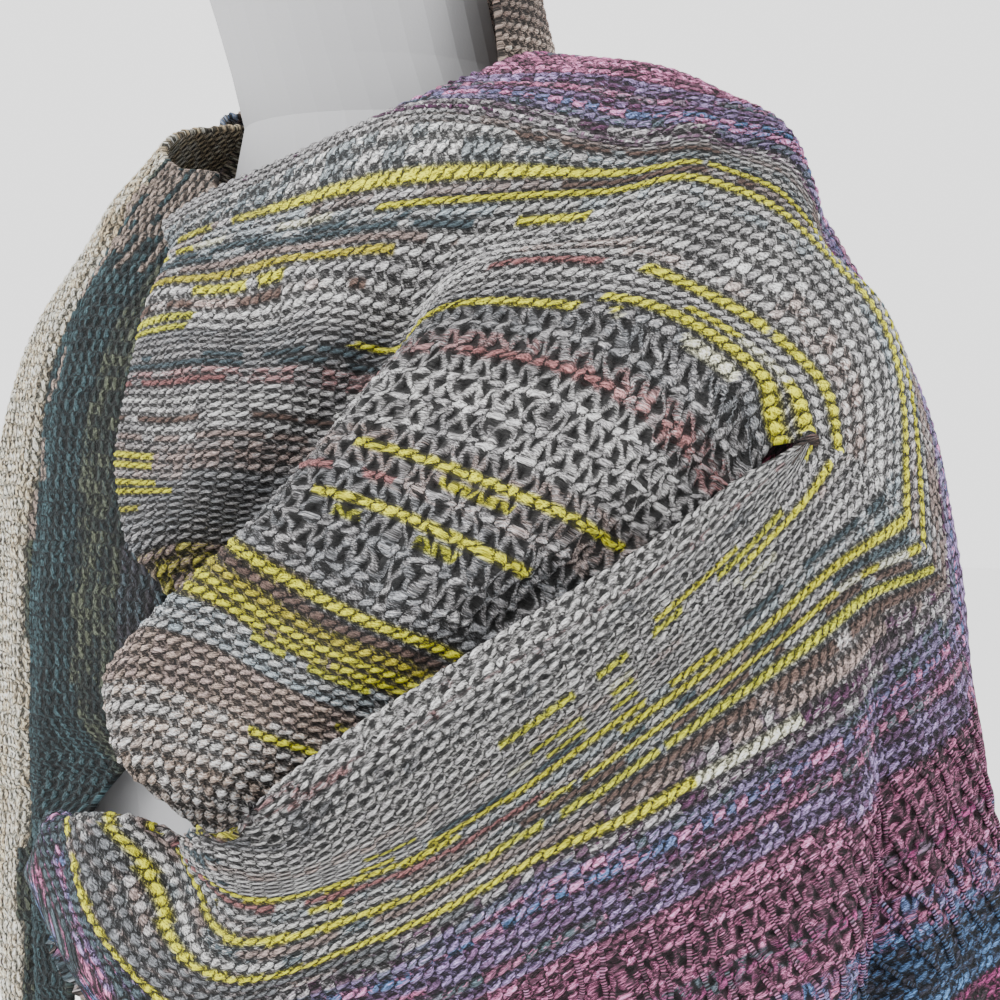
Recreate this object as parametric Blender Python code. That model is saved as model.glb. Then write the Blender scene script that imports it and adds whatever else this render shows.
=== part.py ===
"""Asymmetric knitted shawl wound round the shoulders of a limbless dress form.

The shawl is one sheet with mitred rows, so every stretch of it that shows is lofted through its own rows.
A place on the drape is an angle round the body and a level down it. The angle is 0 at the front centre and
90 at the wearer's left shoulder, which is +X. The levels are the columns of DRAPE. Sizes in tables are in
millimetres, and the objects are in metres with +Z up and the form standing on z = 0, facing -Y.
"""

import math

import bmesh
import bpy
import numpy as np

MM = 0.001
WALL = 4.0  # thickness of the garter-stitch cloth
SEAM = 0.4  # gap between two stretches that meet edge to edge

# The outside of the wound cloth, round the body.
# angle: (radius, height) at neck, shoulder, arm, bust, waist, hem
DRAPE = {
    -30: ((76, 646), (102, 624), (132, 560), (150, 440), (158, 300), (160, 170)),
    0: ((74, 646), (100, 626), (136, 560), (158, 440), (166, 300), (168, 150)),
    25: ((76, 656), (112, 634), (158, 560), (180, 440), (186, 300), (188, 130)),
    50: ((80, 670), (134, 646), (186, 562), (204, 440), (212, 300), (214, 125)),
    75: ((87, 688), (164, 662), (216, 566), (234, 440), (244, 300), (248, 140)),
    95: ((94, 700), (184, 674), (232, 575), (250, 440), (264, 300), (268, 160)),
    120: ((96, 697), (172, 657), (233, 574), (256, 440), (276, 300), (280, 180)),
    145: ((97, 699), (146, 654), (206, 570), (236, 440), (254, 300), (258, 200)),
    180: ((98, 704), (130, 670), (160, 568), (178, 440), (192, 300), (196, 215)),
    220: ((97, 706), (148, 664), (188, 570), (200, 440), (212, 300), (216, 220)),
    255: ((94, 700), (166, 648), (206, 570), (216, 440), (224, 300), (226, 225)),
    280: ((90, 692), (164, 636), (198, 568), (206, 440), (212, 300), (212, 225)),
}

# The stretch of the far end, closer to the body, with the same kind of columns.
# angle: (radius, height) at neck, shoulder, chest, bust, waist, tip
FAR_END = {
    -98: ((84, 692), (150, 638), (176, 568), (186, 440), (184, 330), (178, 205)),
    -70: ((80, 684), (116, 640), (152, 568), (162, 440), (160, 330), (152, 205)),
    -45: ((76, 672), (102, 636), (135, 568), (141, 440), (140, 330), (134, 205)),
    -20: ((72, 660), (92, 632), (121, 568), (128, 440), (127, 330), (122, 205)),
    2: ((70, 655), (86, 628), (113, 568), (121, 440), (122, 330), (118, 205)),
    16: ((68, 650), (82, 624), (107, 568), (117, 440), (119, 330), (114, 205)),
}
# level: (inner edge, outer edge), in degrees
FAR_END_EDGES = {
    0: (4, -96),
    1: (10, -96),
    2.2: (13, -95),
    2.95: (13, -92),
    3.3: (-3, -89),
    4: (-8, -70),
    4.9: (-13, -34),
}

# Rows of the near cowl. The ridge number counts garter ridges out from the start of the knitting.
# ridge: (angle, level) at left edge, cowl, valley, chest, shoulder top, arm, mitre
COWL_STATIONS = (0, 0.17, 0.34, 0.51, 0.68, 0.85, 1)
COWL = {
    0: ((28, 3.30), (30, 3.30), (33, 3.29), (36, 3.28), (39, 3.27), (42, 3.25), (44, 3.24)),
    10: ((23, 2.84), (30, 2.83), (36, 2.87), (40, 2.90), (44, 2.94), (48, 2.98), (51, 3.03)),
    17: ((23, 2.62), (30, 2.58), (37, 2.61), (42, 2.68), (47, 2.75), (52, 2.81), (57, 2.88)),
    21: ((24, 2.48), (31, 2.42), (38, 2.45), (44, 2.56), (50, 2.65), (56, 2.72), (62, 2.79)),
    28: ((21, 2.28), (33, 2.28), (44, 2.28), (53, 2.33), (60, 2.42), (66, 2.51), (72, 2.61)),
    32: ((19, 2.16), (33, 2.18), (46, 2.14), (56, 2.19), (64, 2.29), (71, 2.39), (78, 2.50)),
    40: ((18, 1.87), (34, 1.90), (50, 1.88), (62, 1.84), (72, 1.92), (80, 2.10), (87, 2.32)),
    43: ((18, 1.76), (36, 1.79), (54, 1.76), (67, 1.71), (79, 1.80), (88, 2.02), (90, 2.21)),
    44: ((18, 1.73), (36, 1.76), (54, 1.73), (68, 1.68), (81, 1.78), (91, 2.03), (93, 2.22)),
    46: ((17, 1.66), (37, 1.68), (56, 1.65), (72, 1.60), (84, 1.76), (95, 2.04), (96, 2.25)),
    48: ((16, 1.46), (38, 1.49), (58, 1.48), (76, 1.53), (90, 1.65), (101, 1.95), (100, 2.30)),
    50: ((16, 1.33), (39, 1.35), (60, 1.36), (80, 1.41), (96, 1.58), (107, 1.88), (104, 2.39)),
    54: ((15, 1.19), (40, 1.16), (62, 1.20), (83, 1.34), (100, 1.49), (113, 1.80), (108, 2.50)),
    60: ((4, 0.81), (30, 0.64), (55, 0.46), (81, 1.19), (101, 1.40), (116, 1.80), (113, 2.63)),
}
NECK_EDGE_ENDS = 0.34  # the cowl's top edge is free up to this station, and meets the back from there

# Rows of the front wrap, which turn at the mitre and run down across the front.
# ridge: (angle, level) at mitre, arm, side, front, breast, turn, loop, far end
WRAP_STATIONS = (0, 0.14, 0.28, 0.42, 0.56, 0.70, 0.85, 1)
WRAP = {
    37: ((92.6, 2.215), (84, 2.30), (76, 2.44), (68, 2.59), (60, 2.74), (52, 2.90), (46, 3.05), (42, 3.18)),
    44: ((93, 2.22), (86, 2.41), (78, 2.60), (70, 2.78), (61, 2.97), (53, 3.12), (45, 3.22), (37, 3.17)),
    50: ((104, 2.39), (93, 2.52), (84, 2.68), (74, 2.87), (63, 3.09), (53, 3.25), (42, 3.33), (31, 3.22)),
    54: ((108, 2.50), (96, 2.58), (87, 2.71), (77, 2.89), (66, 3.10), (55, 3.31), (40, 3.43), (27, 3.18)),
    57: ((110, 2.56), (98, 2.62), (88, 2.75), (78, 2.92), (67, 3.14), (54, 3.38), (38, 3.52), (22, 3.19)),
    60: ((113, 2.63), (101, 2.75), (90, 2.88), (79, 3.03), (68, 3.20), (54, 3.45), (34, 3.60), (16, 3.22)),
    66: ((117, 2.85), (104, 2.97), (93, 3.10), (82, 3.24), (69, 3.42), (52, 3.62), (28, 3.63), (9, 3.22)),
    76: ((124, 3.20), (111, 3.32), (99, 3.44), (86, 3.56), (71, 3.70), (50, 3.80), (23, 3.62), (4, 3.28)),
    88: ((134, 3.65), (119, 3.75), (104, 3.85), (89, 3.93), (71, 3.98), (47, 3.94), (19, 3.60), (2, 3.34)),
    102: ((146, 4.30), (128, 4.40), (110, 4.45), (91, 4.42), (70, 4.28), (44, 4.06), (16, 3.58), (1, 3.40)),
}

# Where the two wings of the knitting turn into each other.
# ridge: (angle, level)
MITRE = {
    37: (92.6, 2.215),
    44: (93, 2.22),
    46: (96, 2.25),
    48: (100, 2.30),
    50: (104, 2.39),
    54: (108, 2.50),
    57: (110, 2.56),
    60: (113, 2.63),
    66: (117, 2.85),
    76: (124, 3.20),
    88: (134, 3.65),
    102: (146, 4.30),
}
FIRST_FLUSH_RIDGE = 44  # below this ridge the cowl runs under the roll
LAST_COWL_RIDGE = 60
FIRST_WRAP_RIDGE = 37
RIDGE_PITCH = 4.3
FRONT_ROW = 300  # length of a row of the cowl or the wrap
BACK_ROW = 400
FAR_SHOULDER = 266  # the angle where the back stops
FAR_SHOULDER_HEM = 4.6  # and the level of its lowest corner
ROLL_CLEARANCE = 7  # how far the cowl dips under the roll
ROLL_RISE = 3.5  # how far the roll's end stands over the cowl
COWL_EDGE_RADIUS = 5  # of the rolled edge over the far end
LOOP_EDGE_RADIUS = 7  # of the rolled edge of the loop
MITRE_GAP = 0.004  # in levels, half a millimetre
HEM_TUCK = 40  # how far the cowl's first rows turn in behind the loop

# Soft folds. A path of places, the height at its start, middle and end, and its half width.
# name: (path of (angle, level), (start, middle, end), half width)
COWL_FOLDS = {
    "valley": (((84, 1.38), (62, 1.50), (53, 1.82), (40, 2.25), (31, 2.48), (22, 2.62)), (-3, -22, -24), 11),
    "mound edge": (((66, 1.62), (56, 1.92), (47, 2.30), (39, 2.50), (32, 2.62), (26, 2.80)), (3, 12, 8), 15),
    "mound": (((74, 1.95), (60, 2.35), (44, 2.80)), (4, 7, 4), 34),
    "shoulder ridge": (((88, 1.28), (84, 1.45), (78, 1.75)), (7, 6, 2), 13),
    "shoulder bump": (((93, 1.16), (99, 1.24), (104, 1.38)), (4, 10, 5), 16),
    "bump groove": (((97, 1.44), (107, 1.54), (116, 1.60)), (-1, -5, -4), 12),
    "cowl ripple": (((30, 1.25), (44, 1.55), (50, 1.85)), (1, 4, 2), 12),
    "cowl swell": (((22, 1.55), (34, 1.90), (36, 2.25)), (2, 5, 3), 13),
    "crease at roll": (
        ((86, 2.2), (76, 2.38), (68, 2.53), (60, 2.68), (52, 2.84), (40, 3.16)), (-2, -8, -7), 9),
    "turned edge": (((12, 1.2), (14, 1.9), (15, 2.25), (19, 2.5), (20, 3.0), (26, 3.3)), (-4, -7, -7), 9),
}
WRAP_FOLDS = {
    "roll": (((88, 2.31), (79, 2.49), (70, 2.68), (61, 2.86), (52, 3.01), (40, 3.18)), (5, 19, 17), 13),
    "under roll": (((88, 2.50), (77, 2.77), (66, 3.01), (55, 3.20)), (-2, -5, -3), 9),
    "lobe": (((90, 2.85), (75, 3.10), (60, 3.35), (44, 3.45)), (5, 9, 8), 26),
    "pleat crest": (((94, 2.70), (92.5, 3.15), (90, 3.40), (87, 3.70), (86, 4.5)), (1, 9, 12), 15),
    "pleat trough": (((100, 2.70), (99.5, 3.15), (98, 3.45), (96.5, 3.80), (96, 4.5)), (-2, -18, -22), 13),
    "panel ridge": (((110, 2.8), (112, 3.3), (110, 4.4)), (1, 7, 8), 13),
    "panel trough": (((119, 3.0), (121, 3.5), (121, 4.4)), (-1, -7, -9), 10),
    "loop crease": (((30, 3.20), (32, 3.30), (38, 3.38)), (-12, -9, -2), 9),
    "loop crest": (((22, 3.24), (24, 3.38), (32, 3.48), (44, 3.47)), (6, 8, 5), 12),
    "lower crease": (((80, 3.35), (64, 3.60), (44, 3.72)), (-2, -6, -2), 14),
    "loop turn": (((6, 3.20), (0, 3.36), (10, 3.56), (30, 3.90)), (-8, -14, -4), 9),
}
BACK_FOLDS = {
    "nape": (((120, 0.4), (180, 0.5), (240, 0.4)), (3, 5, 3), 18),
    "left blade": (((150, 1.2), (158, 2.2), (156, 4.0)), (3, 8, 6), 22),
    "left gutter": (((168, 1.6), (172, 2.6), (170, 4.2)), (-2, -7, -8), 15),
    "middle": (((186, 1.3), (188, 2.4), (192, 4.4)), (2, 7, 9), 18),
    "right gutter": (((204, 1.5), (204, 2.8), (207, 4.3)), (-2, -6, -8), 14),
    "right blade": (((222, 1.1), (222, 2.3), (226, 4.4)), (2, 7, 10), 20),
    "side gutter": (((243, 1.4), (241, 2.6), (244, 4.4)), (-1, -6, -7), 13),
}
FAR_END_FOLDS = {
    "long groove": (((-30, 0.9), (-28, 2.0), (-27, 3.0), (-24, 4.6)), (-4, -8, -6), 6),
    "outer crest": (((-48, 0.8), (-46, 2.0), (-43, 3.0), (-36, 4.4)), (2, 5, 3), 14),
    "inner crest": (((-14, 1.0), (-14, 2.0), (-15, 3.0), (-16, 4.6)), (1, 4, 3), 9),
}

# The stretch that stands up behind the neck.
NECK_STAND_SPAN = (95, 260)
# angle: (radius, height) at foot, middle, top
NECK_STAND = {
    93: ((88, 688), (84, 719), (79, 744)),
    112: ((89, 690), (83, 724), (77, 755)),
    137: ((90, 690), (81, 728), (73, 762)),
    180: ((90, 690), (82, 730), (74, 768)),
    225: ((89, 690), (82, 726), (75, 758)),
    262: ((84, 686), (80, 708), (77, 728)),
}

# Sections of the dress form, from its flat foot to the flat top of its neck.
# height: (half width, half depth, centre in y)
FORM = {
    0: (148, 106, 0),
    6: (152, 110, 0),
    100: (170, 117, 0),
    200: (158, 108, 0),
    300: (124, 92, 0),
    380: (133, 97, 0),
    450: (145, 104, -4),
    520: (150, 98, -2),
    570: (155, 86, 4),
    603: (150, 76, 8),
    626: (126, 68, 12),
    643: (92, 62, 18),
    660: (68, 58, 21),
    680: (58, 56, 19),
    705: (56, 56, 10),
    732: (57, 57, 1),
    770: (58, 58, -13),
    776: (55, 55, -15),
}
FORM_SIDES = 32
FORM_RING_STEP = 22.0

# Colours from the photo: (red, green, blue), roughness
FINISHES = {
    "front_cowl": ((0.21, 0.21, 0.21), 0.95),
    "front_wrap": ((0.24, 0.19, 0.21), 0.95),
    "back_drape": ((0.20, 0.11, 0.20), 0.95),
    "far_end": ((0.42, 0.40, 0.33), 0.95),
    "neck_stand": ((0.21, 0.17, 0.15), 0.95),
    "dress_form": ((0.80, 0.79, 0.77), 0.85),
}


def weights(knots, at):
    """The share of every knot's value at each place, on a smooth curve through the knots."""
    knots = np.asarray(knots, float)
    at = np.clip(np.asarray(at, float).ravel(), knots[0], knots[-1])
    left = np.clip(np.searchsorted(knots, at, side="right") - 1, 0, len(knots) - 2)
    span = knots[left + 1] - knots[left]
    t = (at - knots[left]) / span
    shares = np.zeros((len(at), len(knots)))
    row = np.arange(len(at))
    shares[row, left] += 2 * t**3 - 3 * t**2 + 1
    shares[row, left + 1] += 3 * t**2 - 2 * t**3
    for knot, rise in ((left, t**3 - 2 * t**2 + t), (left + 1, t**3 - t**2)):
        before = np.maximum(knot - 1, 0)
        after = np.minimum(knot + 1, len(knots) - 1)
        slope = rise * span / (knots[after] - knots[before])
        np.add.at(shares, (row, after), slope)
        np.add.at(shares, (row, before), -slope)
    return shares


def values(table):
    return np.array(list(table.values()), float)


def on_profiles(table, angle, level):
    """Points at these angles and levels on the surface through a table of profiles."""
    angle, level = np.broadcast_arrays(np.asarray(angle, float), np.asarray(level, float))
    profiles = values(table)
    across = weights(list(table), angle)
    down = weights(range(profiles.shape[1]), level)
    radius, height = np.einsum("nk,nl,klc->cn", across, down, profiles)
    turn = np.radians(angle.ravel())
    points = np.stack([radius * np.sin(turn), -radius * np.cos(turn), height], axis=1)
    return points.reshape(*angle.shape, 3)


def outward(table, angle, level):
    """Unit normals of that surface, away from the body."""
    lowest = values(table).shape[1] - 1
    step_round = on_profiles(table, angle + 0.5, level) - on_profiles(table, angle - 0.5, level)
    below = on_profiles(table, angle, np.minimum(level + 0.02, lowest))
    above = on_profiles(table, angle, np.maximum(level - 0.02, 0))
    normal = np.cross(below - above, step_round)
    return normal / np.linalg.norm(normal, axis=-1, keepdims=True)


def fold_heights(table, folds, points):
    """How far soft folds lift the cloth at each point."""
    lift = np.zeros(points.shape[:-1])
    for path, heights, half_width in folds.values():
        t = np.linspace(0, len(path) - 1, 60)
        angle, level = (weights(range(len(path)), t) @ np.array(path, float)).T
        line = on_profiles(table, angle, level)
        along = weights((0, 0.5, 1), t / t[-1]) @ np.array(heights, float)
        away = np.linalg.norm(points[..., None, :] - line, axis=-1)
        lift += along[away.argmin(axis=-1)] * np.exp(-((away.min(axis=-1) / half_width) ** 2))
    return lift


def ramp(value, low, high):
    """0 below low and 1 above high, with a smooth rise between them."""
    t = np.clip((value - low) / (high - low), 0, 1)
    return t * t * (3 - 2 * t)


def rows_grid(table, stations, ridges, shares):
    """Angle and level for each ridge and each share of the way along it."""
    down, along = weights(list(table), ridges), weights(stations, shares)
    return np.einsum("vk,us,ksc->vuc", down, along, values(table))


def mitre_places(ridges):
    return weights(list(MITRE), ridges) @ values(MITRE)


def drape_skins(places, lift):
    """The outside and the inside of a stretch of cloth at these angles and levels of the drape."""
    angle, level = places[..., 0], places[..., 1]
    normal = outward(DRAPE, angle, level)
    outside = on_profiles(DRAPE, angle, level) + normal * lift[..., None]
    return outside, outside - normal * WALL


def turned_edge(skins, radius, side):
    """Adds columns at one end of the rows, where the cloth rolls inwards and lies back under itself."""
    outside, inside = (skin if side > 0 else skin[:, ::-1] for skin in skins)
    normal = outside[:, -1] - inside[:, -1]
    normal /= np.linalg.norm(normal, axis=1, keepdims=True)
    along = outside[:, -1] - outside[:, -2]
    along -= normal * np.sum(along * normal, axis=1, keepdims=True)
    along /= np.linalg.norm(along, axis=1, keepdims=True)
    centre = outside[:, -1] - normal * radius
    rolled = []
    for skin, reach in ((outside, radius), (inside, radius - WALL)):
        columns = [skin]
        for turn in np.radians((36, 72, 108, 144, 180)):
            facing = normal * math.cos(turn) + along * math.sin(turn)
            columns.append((centre + facing * reach)[:, None])
        columns.append((centre - normal * reach - along * radius)[:, None])
        skin = np.concatenate(columns, axis=1)
        rolled.append(skin if side > 0 else skin[:, ::-1])
    return rolled


def cowl_places(ridges, shares):
    """The cowl's rows, with those that reach the mitre ending exactly on it."""
    places = rows_grid(COWL, COWL_STATIONS, ridges, shares)
    miss = mitre_places(ridges) - places[:, -1]
    miss[ridges < FIRST_FLUSH_RIDGE] = 0
    return places + miss[:, None] * shares[None, :, None] ** 8


def wrap_places(ridges, shares):
    places = rows_grid(WRAP, WRAP_STATIONS, ridges, shares)
    miss = mitre_places(ridges) + (0, MITRE_GAP) - places[:, 0]
    return places + miss[:, None] * (1 - shares[None, :, None]) ** 8


def every_fold(points):
    """Folds of the three stretches that meet edge to edge, so that their edges rise and fall together."""
    return fold_heights(DRAPE, COWL_FOLDS | BACK_FOLDS, points)


def cowl_lift(places, ridges, shares):
    """Fold heights, less a dip that takes the lower rows under the roll."""
    points = on_profiles(DRAPE, places[..., 0], places[..., 1])
    flush = ramp(ridges, FIRST_FLUSH_RIDGE - 1, FIRST_FLUSH_RIDGE)[:, None]
    dip = ROLL_CLEARANCE * ramp(shares, 0.84, 0.96)[None, :] * (1 - flush)
    tuck = HEM_TUCK * (1 - ramp(ridges, 0, 7))[:, None]
    near_mitre = flush * ramp(shares, 0.5, 1)[None, :]
    return every_fold(points) - dip - tuck + near_mitre * fold_heights(DRAPE, WRAP_FOLDS, points)


def wrap_lift(places, ridges, shares):
    """Fold heights, plus a rise that keeps the roll clear of the cowl under it."""
    points = on_profiles(DRAPE, places[..., 0], places[..., 1])
    rise = ramp(shares, 0.0, 0.05)[None, :] * (1 - ramp(ridges, FIRST_WRAP_RIDGE, 48))[:, None]
    flush = 1 - ramp(shares, 0.0, 0.15)[None, :]
    return fold_heights(DRAPE, WRAP_FOLDS, points) + ROLL_RISE * rise + flush * every_fold(points)


def front_cowl(ridges, shares):
    places = cowl_places(ridges, shares)
    return turned_edge(drape_skins(places, cowl_lift(places, ridges, shares)), COWL_EDGE_RADIUS, -1)


def front_wrap(ridges, shares):
    places = wrap_places(ridges, shares)
    return turned_edge(drape_skins(places, wrap_lift(places, ridges, shares)), LOOP_EDGE_RADIUS, 1)


def back_places(left_edge, shares):
    """From the near stretches' edge round the back to the far shoulder, each row ending at its own level."""
    far_level = np.linspace(0, FAR_SHOULDER_HEM, len(left_edge))
    far_edge = np.stack([np.full(len(left_edge), float(FAR_SHOULDER)), far_level], axis=1)
    turn = shares[None, :, None]
    angle = left_edge[:, None, :1] * (1 - turn) + far_edge[:, None, :1] * turn
    fade = (1 - turn) ** (8 - 6.5 * ramp(left_edge[:, None, 1:], 0.6, 1.6))
    level = left_edge[:, None, 1:] * fade + far_edge[:, None, 1:] * (1 - fade)
    return np.concatenate([angle, level], axis=2)


def back_drape(left_edge, shares):
    places = back_places(left_edge, shares)
    points = on_profiles(DRAPE, places[..., 0], places[..., 1])
    near = 1 - ramp(shares, 0.0, 0.12)[None, :]
    lift = every_fold(points) + near * fold_heights(DRAPE, WRAP_FOLDS, points)
    return drape_skins(places, lift)


def far_end(levels, shares):
    """The hanging end, which narrows to a blunt tip."""
    inner, outer = (weights(list(FAR_END_EDGES), levels) @ values(FAR_END_EDGES)).T[:, :, None]
    angle = inner + (outer - inner) * shares
    level = np.broadcast_to(levels[:, None], angle.shape)
    points = on_profiles(FAR_END, angle, level)
    normal = outward(FAR_END, angle, level)
    outside = points + normal * fold_heights(FAR_END, FAR_END_FOLDS, points)[..., None]
    return outside, outside - normal * WALL


def neck_stand(levels, shares):
    start, end = NECK_STAND_SPAN
    angle, level = np.meshgrid(start + (end - start) * shares, levels)
    outside = on_profiles(NECK_STAND, angle, level)
    return outside, outside - outward(NECK_STAND, angle, level) * WALL


def grid_faces(rows, columns, first, flipped):
    """Quads over a grid of points that starts at number first."""
    faces = []
    for row in range(rows - 1):
        for column in range(columns - 1):
            a = first + row * columns + column
            quad = (a, a + columns, a + columns + 1, a + 1)
            faces.append(quad[::-1] if flipped else quad)
    return faces


def rim_faces(rows, columns):
    """Quads that close the wall between the outer and the inner grid, all the way round."""
    top = [column for column in range(columns)]
    right = [row * columns + columns - 1 for row in range(1, rows)]
    bottom = [(rows - 1) * columns + column for column in range(columns - 2, -1, -1)]
    left = [row * columns for row in range(rows - 2, 0, -1)]
    loop = top + right + bottom + left
    size = rows * columns
    following = loop[1:] + loop[:1]
    return [(a, b, b + size, a + size) for a, b in zip(loop, following)]


def new_object(name, points, faces):
    mesh = bpy.data.meshes.new(name)
    mesh.from_pydata([tuple(point) for point in points], [], faces)
    cleaner = bmesh.new()
    cleaner.from_mesh(mesh)
    bmesh.ops.recalc_face_normals(cleaner, faces=cleaner.faces)
    if cleaner.calc_volume(signed=True) < 0:
        bmesh.ops.reverse_faces(cleaner, faces=cleaner.faces)
    cleaner.to_mesh(mesh)
    cleaner.free()
    mesh.polygons.foreach_set("use_smooth", [True] * len(mesh.polygons))
    made = bpy.data.objects.new(name, mesh)
    mesh.materials.append(material(name))
    return made


def cloth(name, skins):
    """A closed wall of cloth between its outer and its inner skin."""
    outside, inside = skins
    rows, columns = outside.shape[:2]
    points = np.concatenate([outside.reshape(-1, 3), inside.reshape(-1, 3)]) * MM
    faces = grid_faces(rows, columns, 0, False) + grid_faces(rows, columns, rows * columns, True)
    return new_object(name, points, faces + rim_faces(rows, columns))


def dress_form():
    """The torso and neck: rings through the sections, closed by a flat foot and a flat top."""
    table_heights = np.array(list(FORM), float)
    between = np.arange(20, table_heights[-2], FORM_RING_STEP)
    heights = np.unique(np.concatenate([table_heights[:2], between, table_heights[-2:]]))
    sections = weights(table_heights, heights) @ values(FORM)
    turn = np.arange(FORM_SIDES) * 2 * math.pi / FORM_SIDES
    half_width, half_depth, centre = sections.T[:, :, None]
    ring_x = half_width * np.cos(turn)
    ring_y = centre + half_depth * np.sin(turn)
    ring_z = np.broadcast_to(heights[:, None], ring_x.shape)
    points = np.stack([ring_x, ring_y, ring_z], axis=2).reshape(-1, 3) * MM
    faces = []
    for ring in range(len(heights) - 1):
        for side in range(FORM_SIDES):
            a = ring * FORM_SIDES + side
            b = ring * FORM_SIDES + (side + 1) % FORM_SIDES
            faces.append((a, b, b + FORM_SIDES, a + FORM_SIDES))
    last = (len(heights) - 1) * FORM_SIDES
    faces.append(tuple(range(FORM_SIDES)))
    faces.append(tuple(range(last, last + FORM_SIDES)))
    return new_object("dress_form", points, faces)


def material(name):
    colour, roughness = FINISHES[name]
    made = bpy.data.materials.new(name)
    made.use_nodes = True
    surface = made.node_tree.nodes["Principled BSDF"]
    surface.inputs["Base Color"].default_value = (*colour, 1)
    surface.inputs["Roughness"].default_value = roughness
    surface.inputs["Metallic"].default_value = 0.0
    return made


def clear_scene():
    for old in list(bpy.data.objects):
        bpy.data.objects.remove(old, do_unlink=True)


def build():
    clear_scene()
    collection = bpy.data.collections.new("shawl_on_dress_form")
    bpy.context.scene.collection.children.link(collection)

    cowl_shares = np.linspace(0, 1, 33)
    cowl_ridges = np.concatenate([np.arange(0, 41, 2.5), [43], np.arange(44, 61, 2)])
    wrap_ridges = np.concatenate([[37, 38.5, 40, 42], np.arange(44, 61, 2), np.arange(63.5, 103, 3.5)])
    near_mitre = [0, 0.015, 0.035, 0.06, 0.08]
    wrap_shares = np.concatenate([near_mitre, np.arange(0.1, 0.45, 0.016), np.linspace(0.46, 1, 15)])

    below_cowl = cowl_ridges.copy()
    below_cowl[-1] -= SEAM / RIDGE_PITCH
    past_mitre = wrap_shares.copy()
    past_mitre[0] = SEAM / FRONT_ROW
    short_of_mitre = cowl_shares.copy()
    short_of_mitre[-1] -= SEAM / FRONT_ROW

    shared_shares = cowl_shares[cowl_shares > NECK_EDGE_ENDS]
    cowl_edge = cowl_places(np.array([float(LAST_COWL_RIDGE)]), shared_shares)[0]
    mitre_edge = mitre_places(wrap_ridges[wrap_ridges > LAST_COWL_RIDGE])
    near_edge = [SEAM / BACK_ROW, 0.015, 0.03, 0.05, 0.08]
    back_shares = np.concatenate([near_edge, np.linspace(0.12, 1, 17)])

    pieces = [
        cloth("front_cowl", front_cowl(below_cowl, short_of_mitre)),
        cloth("front_wrap", front_wrap(wrap_ridges, past_mitre)),
        cloth("back_drape", back_drape(np.concatenate([cowl_edge, mitre_edge]), back_shares)),
        cloth("far_end", far_end(np.linspace(0, max(FAR_END_EDGES), 22), np.linspace(0, 1, 15))),
        cloth("neck_stand", neck_stand(np.linspace(0, 2, 5), np.linspace(0, 1, 22))),
        dress_form(),
    ]
    for piece in pieces:
        collection.objects.link(piece)


build()
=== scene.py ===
# %% [markdown]
# # A knitted shawl wound round a dress form
#
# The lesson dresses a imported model. The model's bodies are the frame: six solids that stand on the floor.
# Each stretch of the shawl gets a visual sheet that lies where its solid lies. The sheet is made in mesh code,
# because a knitted cloth is a lattice: ridges one way and stitches the other, and every stitch is a small lump.
#
# All sizes in tables are in millimetres. The scene itself is in metres, with +Z up and the form facing -Y.

# %% Load the frame
import math

import bmesh
import bpy
import numpy as np
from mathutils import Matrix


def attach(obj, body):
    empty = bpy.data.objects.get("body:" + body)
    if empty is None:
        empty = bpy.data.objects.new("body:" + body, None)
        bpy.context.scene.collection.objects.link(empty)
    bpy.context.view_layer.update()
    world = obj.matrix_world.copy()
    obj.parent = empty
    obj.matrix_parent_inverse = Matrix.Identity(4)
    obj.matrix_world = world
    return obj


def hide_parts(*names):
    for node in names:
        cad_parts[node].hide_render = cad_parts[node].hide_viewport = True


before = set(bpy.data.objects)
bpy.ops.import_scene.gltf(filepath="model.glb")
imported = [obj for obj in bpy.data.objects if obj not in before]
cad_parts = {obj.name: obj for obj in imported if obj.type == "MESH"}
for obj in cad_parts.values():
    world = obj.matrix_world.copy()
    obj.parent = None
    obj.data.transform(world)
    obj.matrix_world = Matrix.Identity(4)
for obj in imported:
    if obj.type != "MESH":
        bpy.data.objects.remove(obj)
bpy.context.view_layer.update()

MM = 0.001
print("nodes:", sorted(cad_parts))

# %% [markdown]
# ## Camera, light and floor
#
# The photograph looks at the wearer's left arm from the height of the chest, from about a metre away. The camera
# is level, so uprights stay upright, and its place is worked out from the angle round the object.

# %% Camera
VIEW_ANGLE = math.radians(47)
CAMERA_DISTANCE = 1.0
CAMERA_HEIGHT = 0.527
CAMERA_SIDE_STEP = 0.063
FRAME_WIDTH_AT_NECK = 0.41

toward_camera = np.array([math.sin(VIEW_ANGLE), -math.cos(VIEW_ANGLE), 0])
to_the_right = np.array([math.cos(VIEW_ANGLE), math.sin(VIEW_ANGLE), 0])
camera_place = CAMERA_DISTANCE * toward_camera + CAMERA_SIDE_STEP * to_the_right + (0, 0, CAMERA_HEIGHT)

lens = bpy.data.cameras.new("camera")
lens.angle = 2 * math.atan(FRAME_WIDTH_AT_NECK / 2 / CAMERA_DISTANCE)
lens.clip_start = 0.05
camera = bpy.data.objects.new("camera", lens)
camera.location = camera_place
camera.rotation_euler = (math.radians(90), 0, VIEW_ANGLE)
bpy.context.scene.collection.objects.link(camera)
bpy.context.scene.camera = camera
print("camera at", np.round(camera_place, 3))


# %% [markdown]
# ### Lights, white surroundings and floor
#
# The photo is evenly lit against plain white. Four lights stand round the form, and the white surroundings fill
# the shadows.

# %% Lights, white surroundings and floor
WHITE_STRENGTH = 2.1
FLOOR_SIZE, FLOOR_DROP = 30.0, 0.0005
FLOOR_WHITE = 0.93


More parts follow.
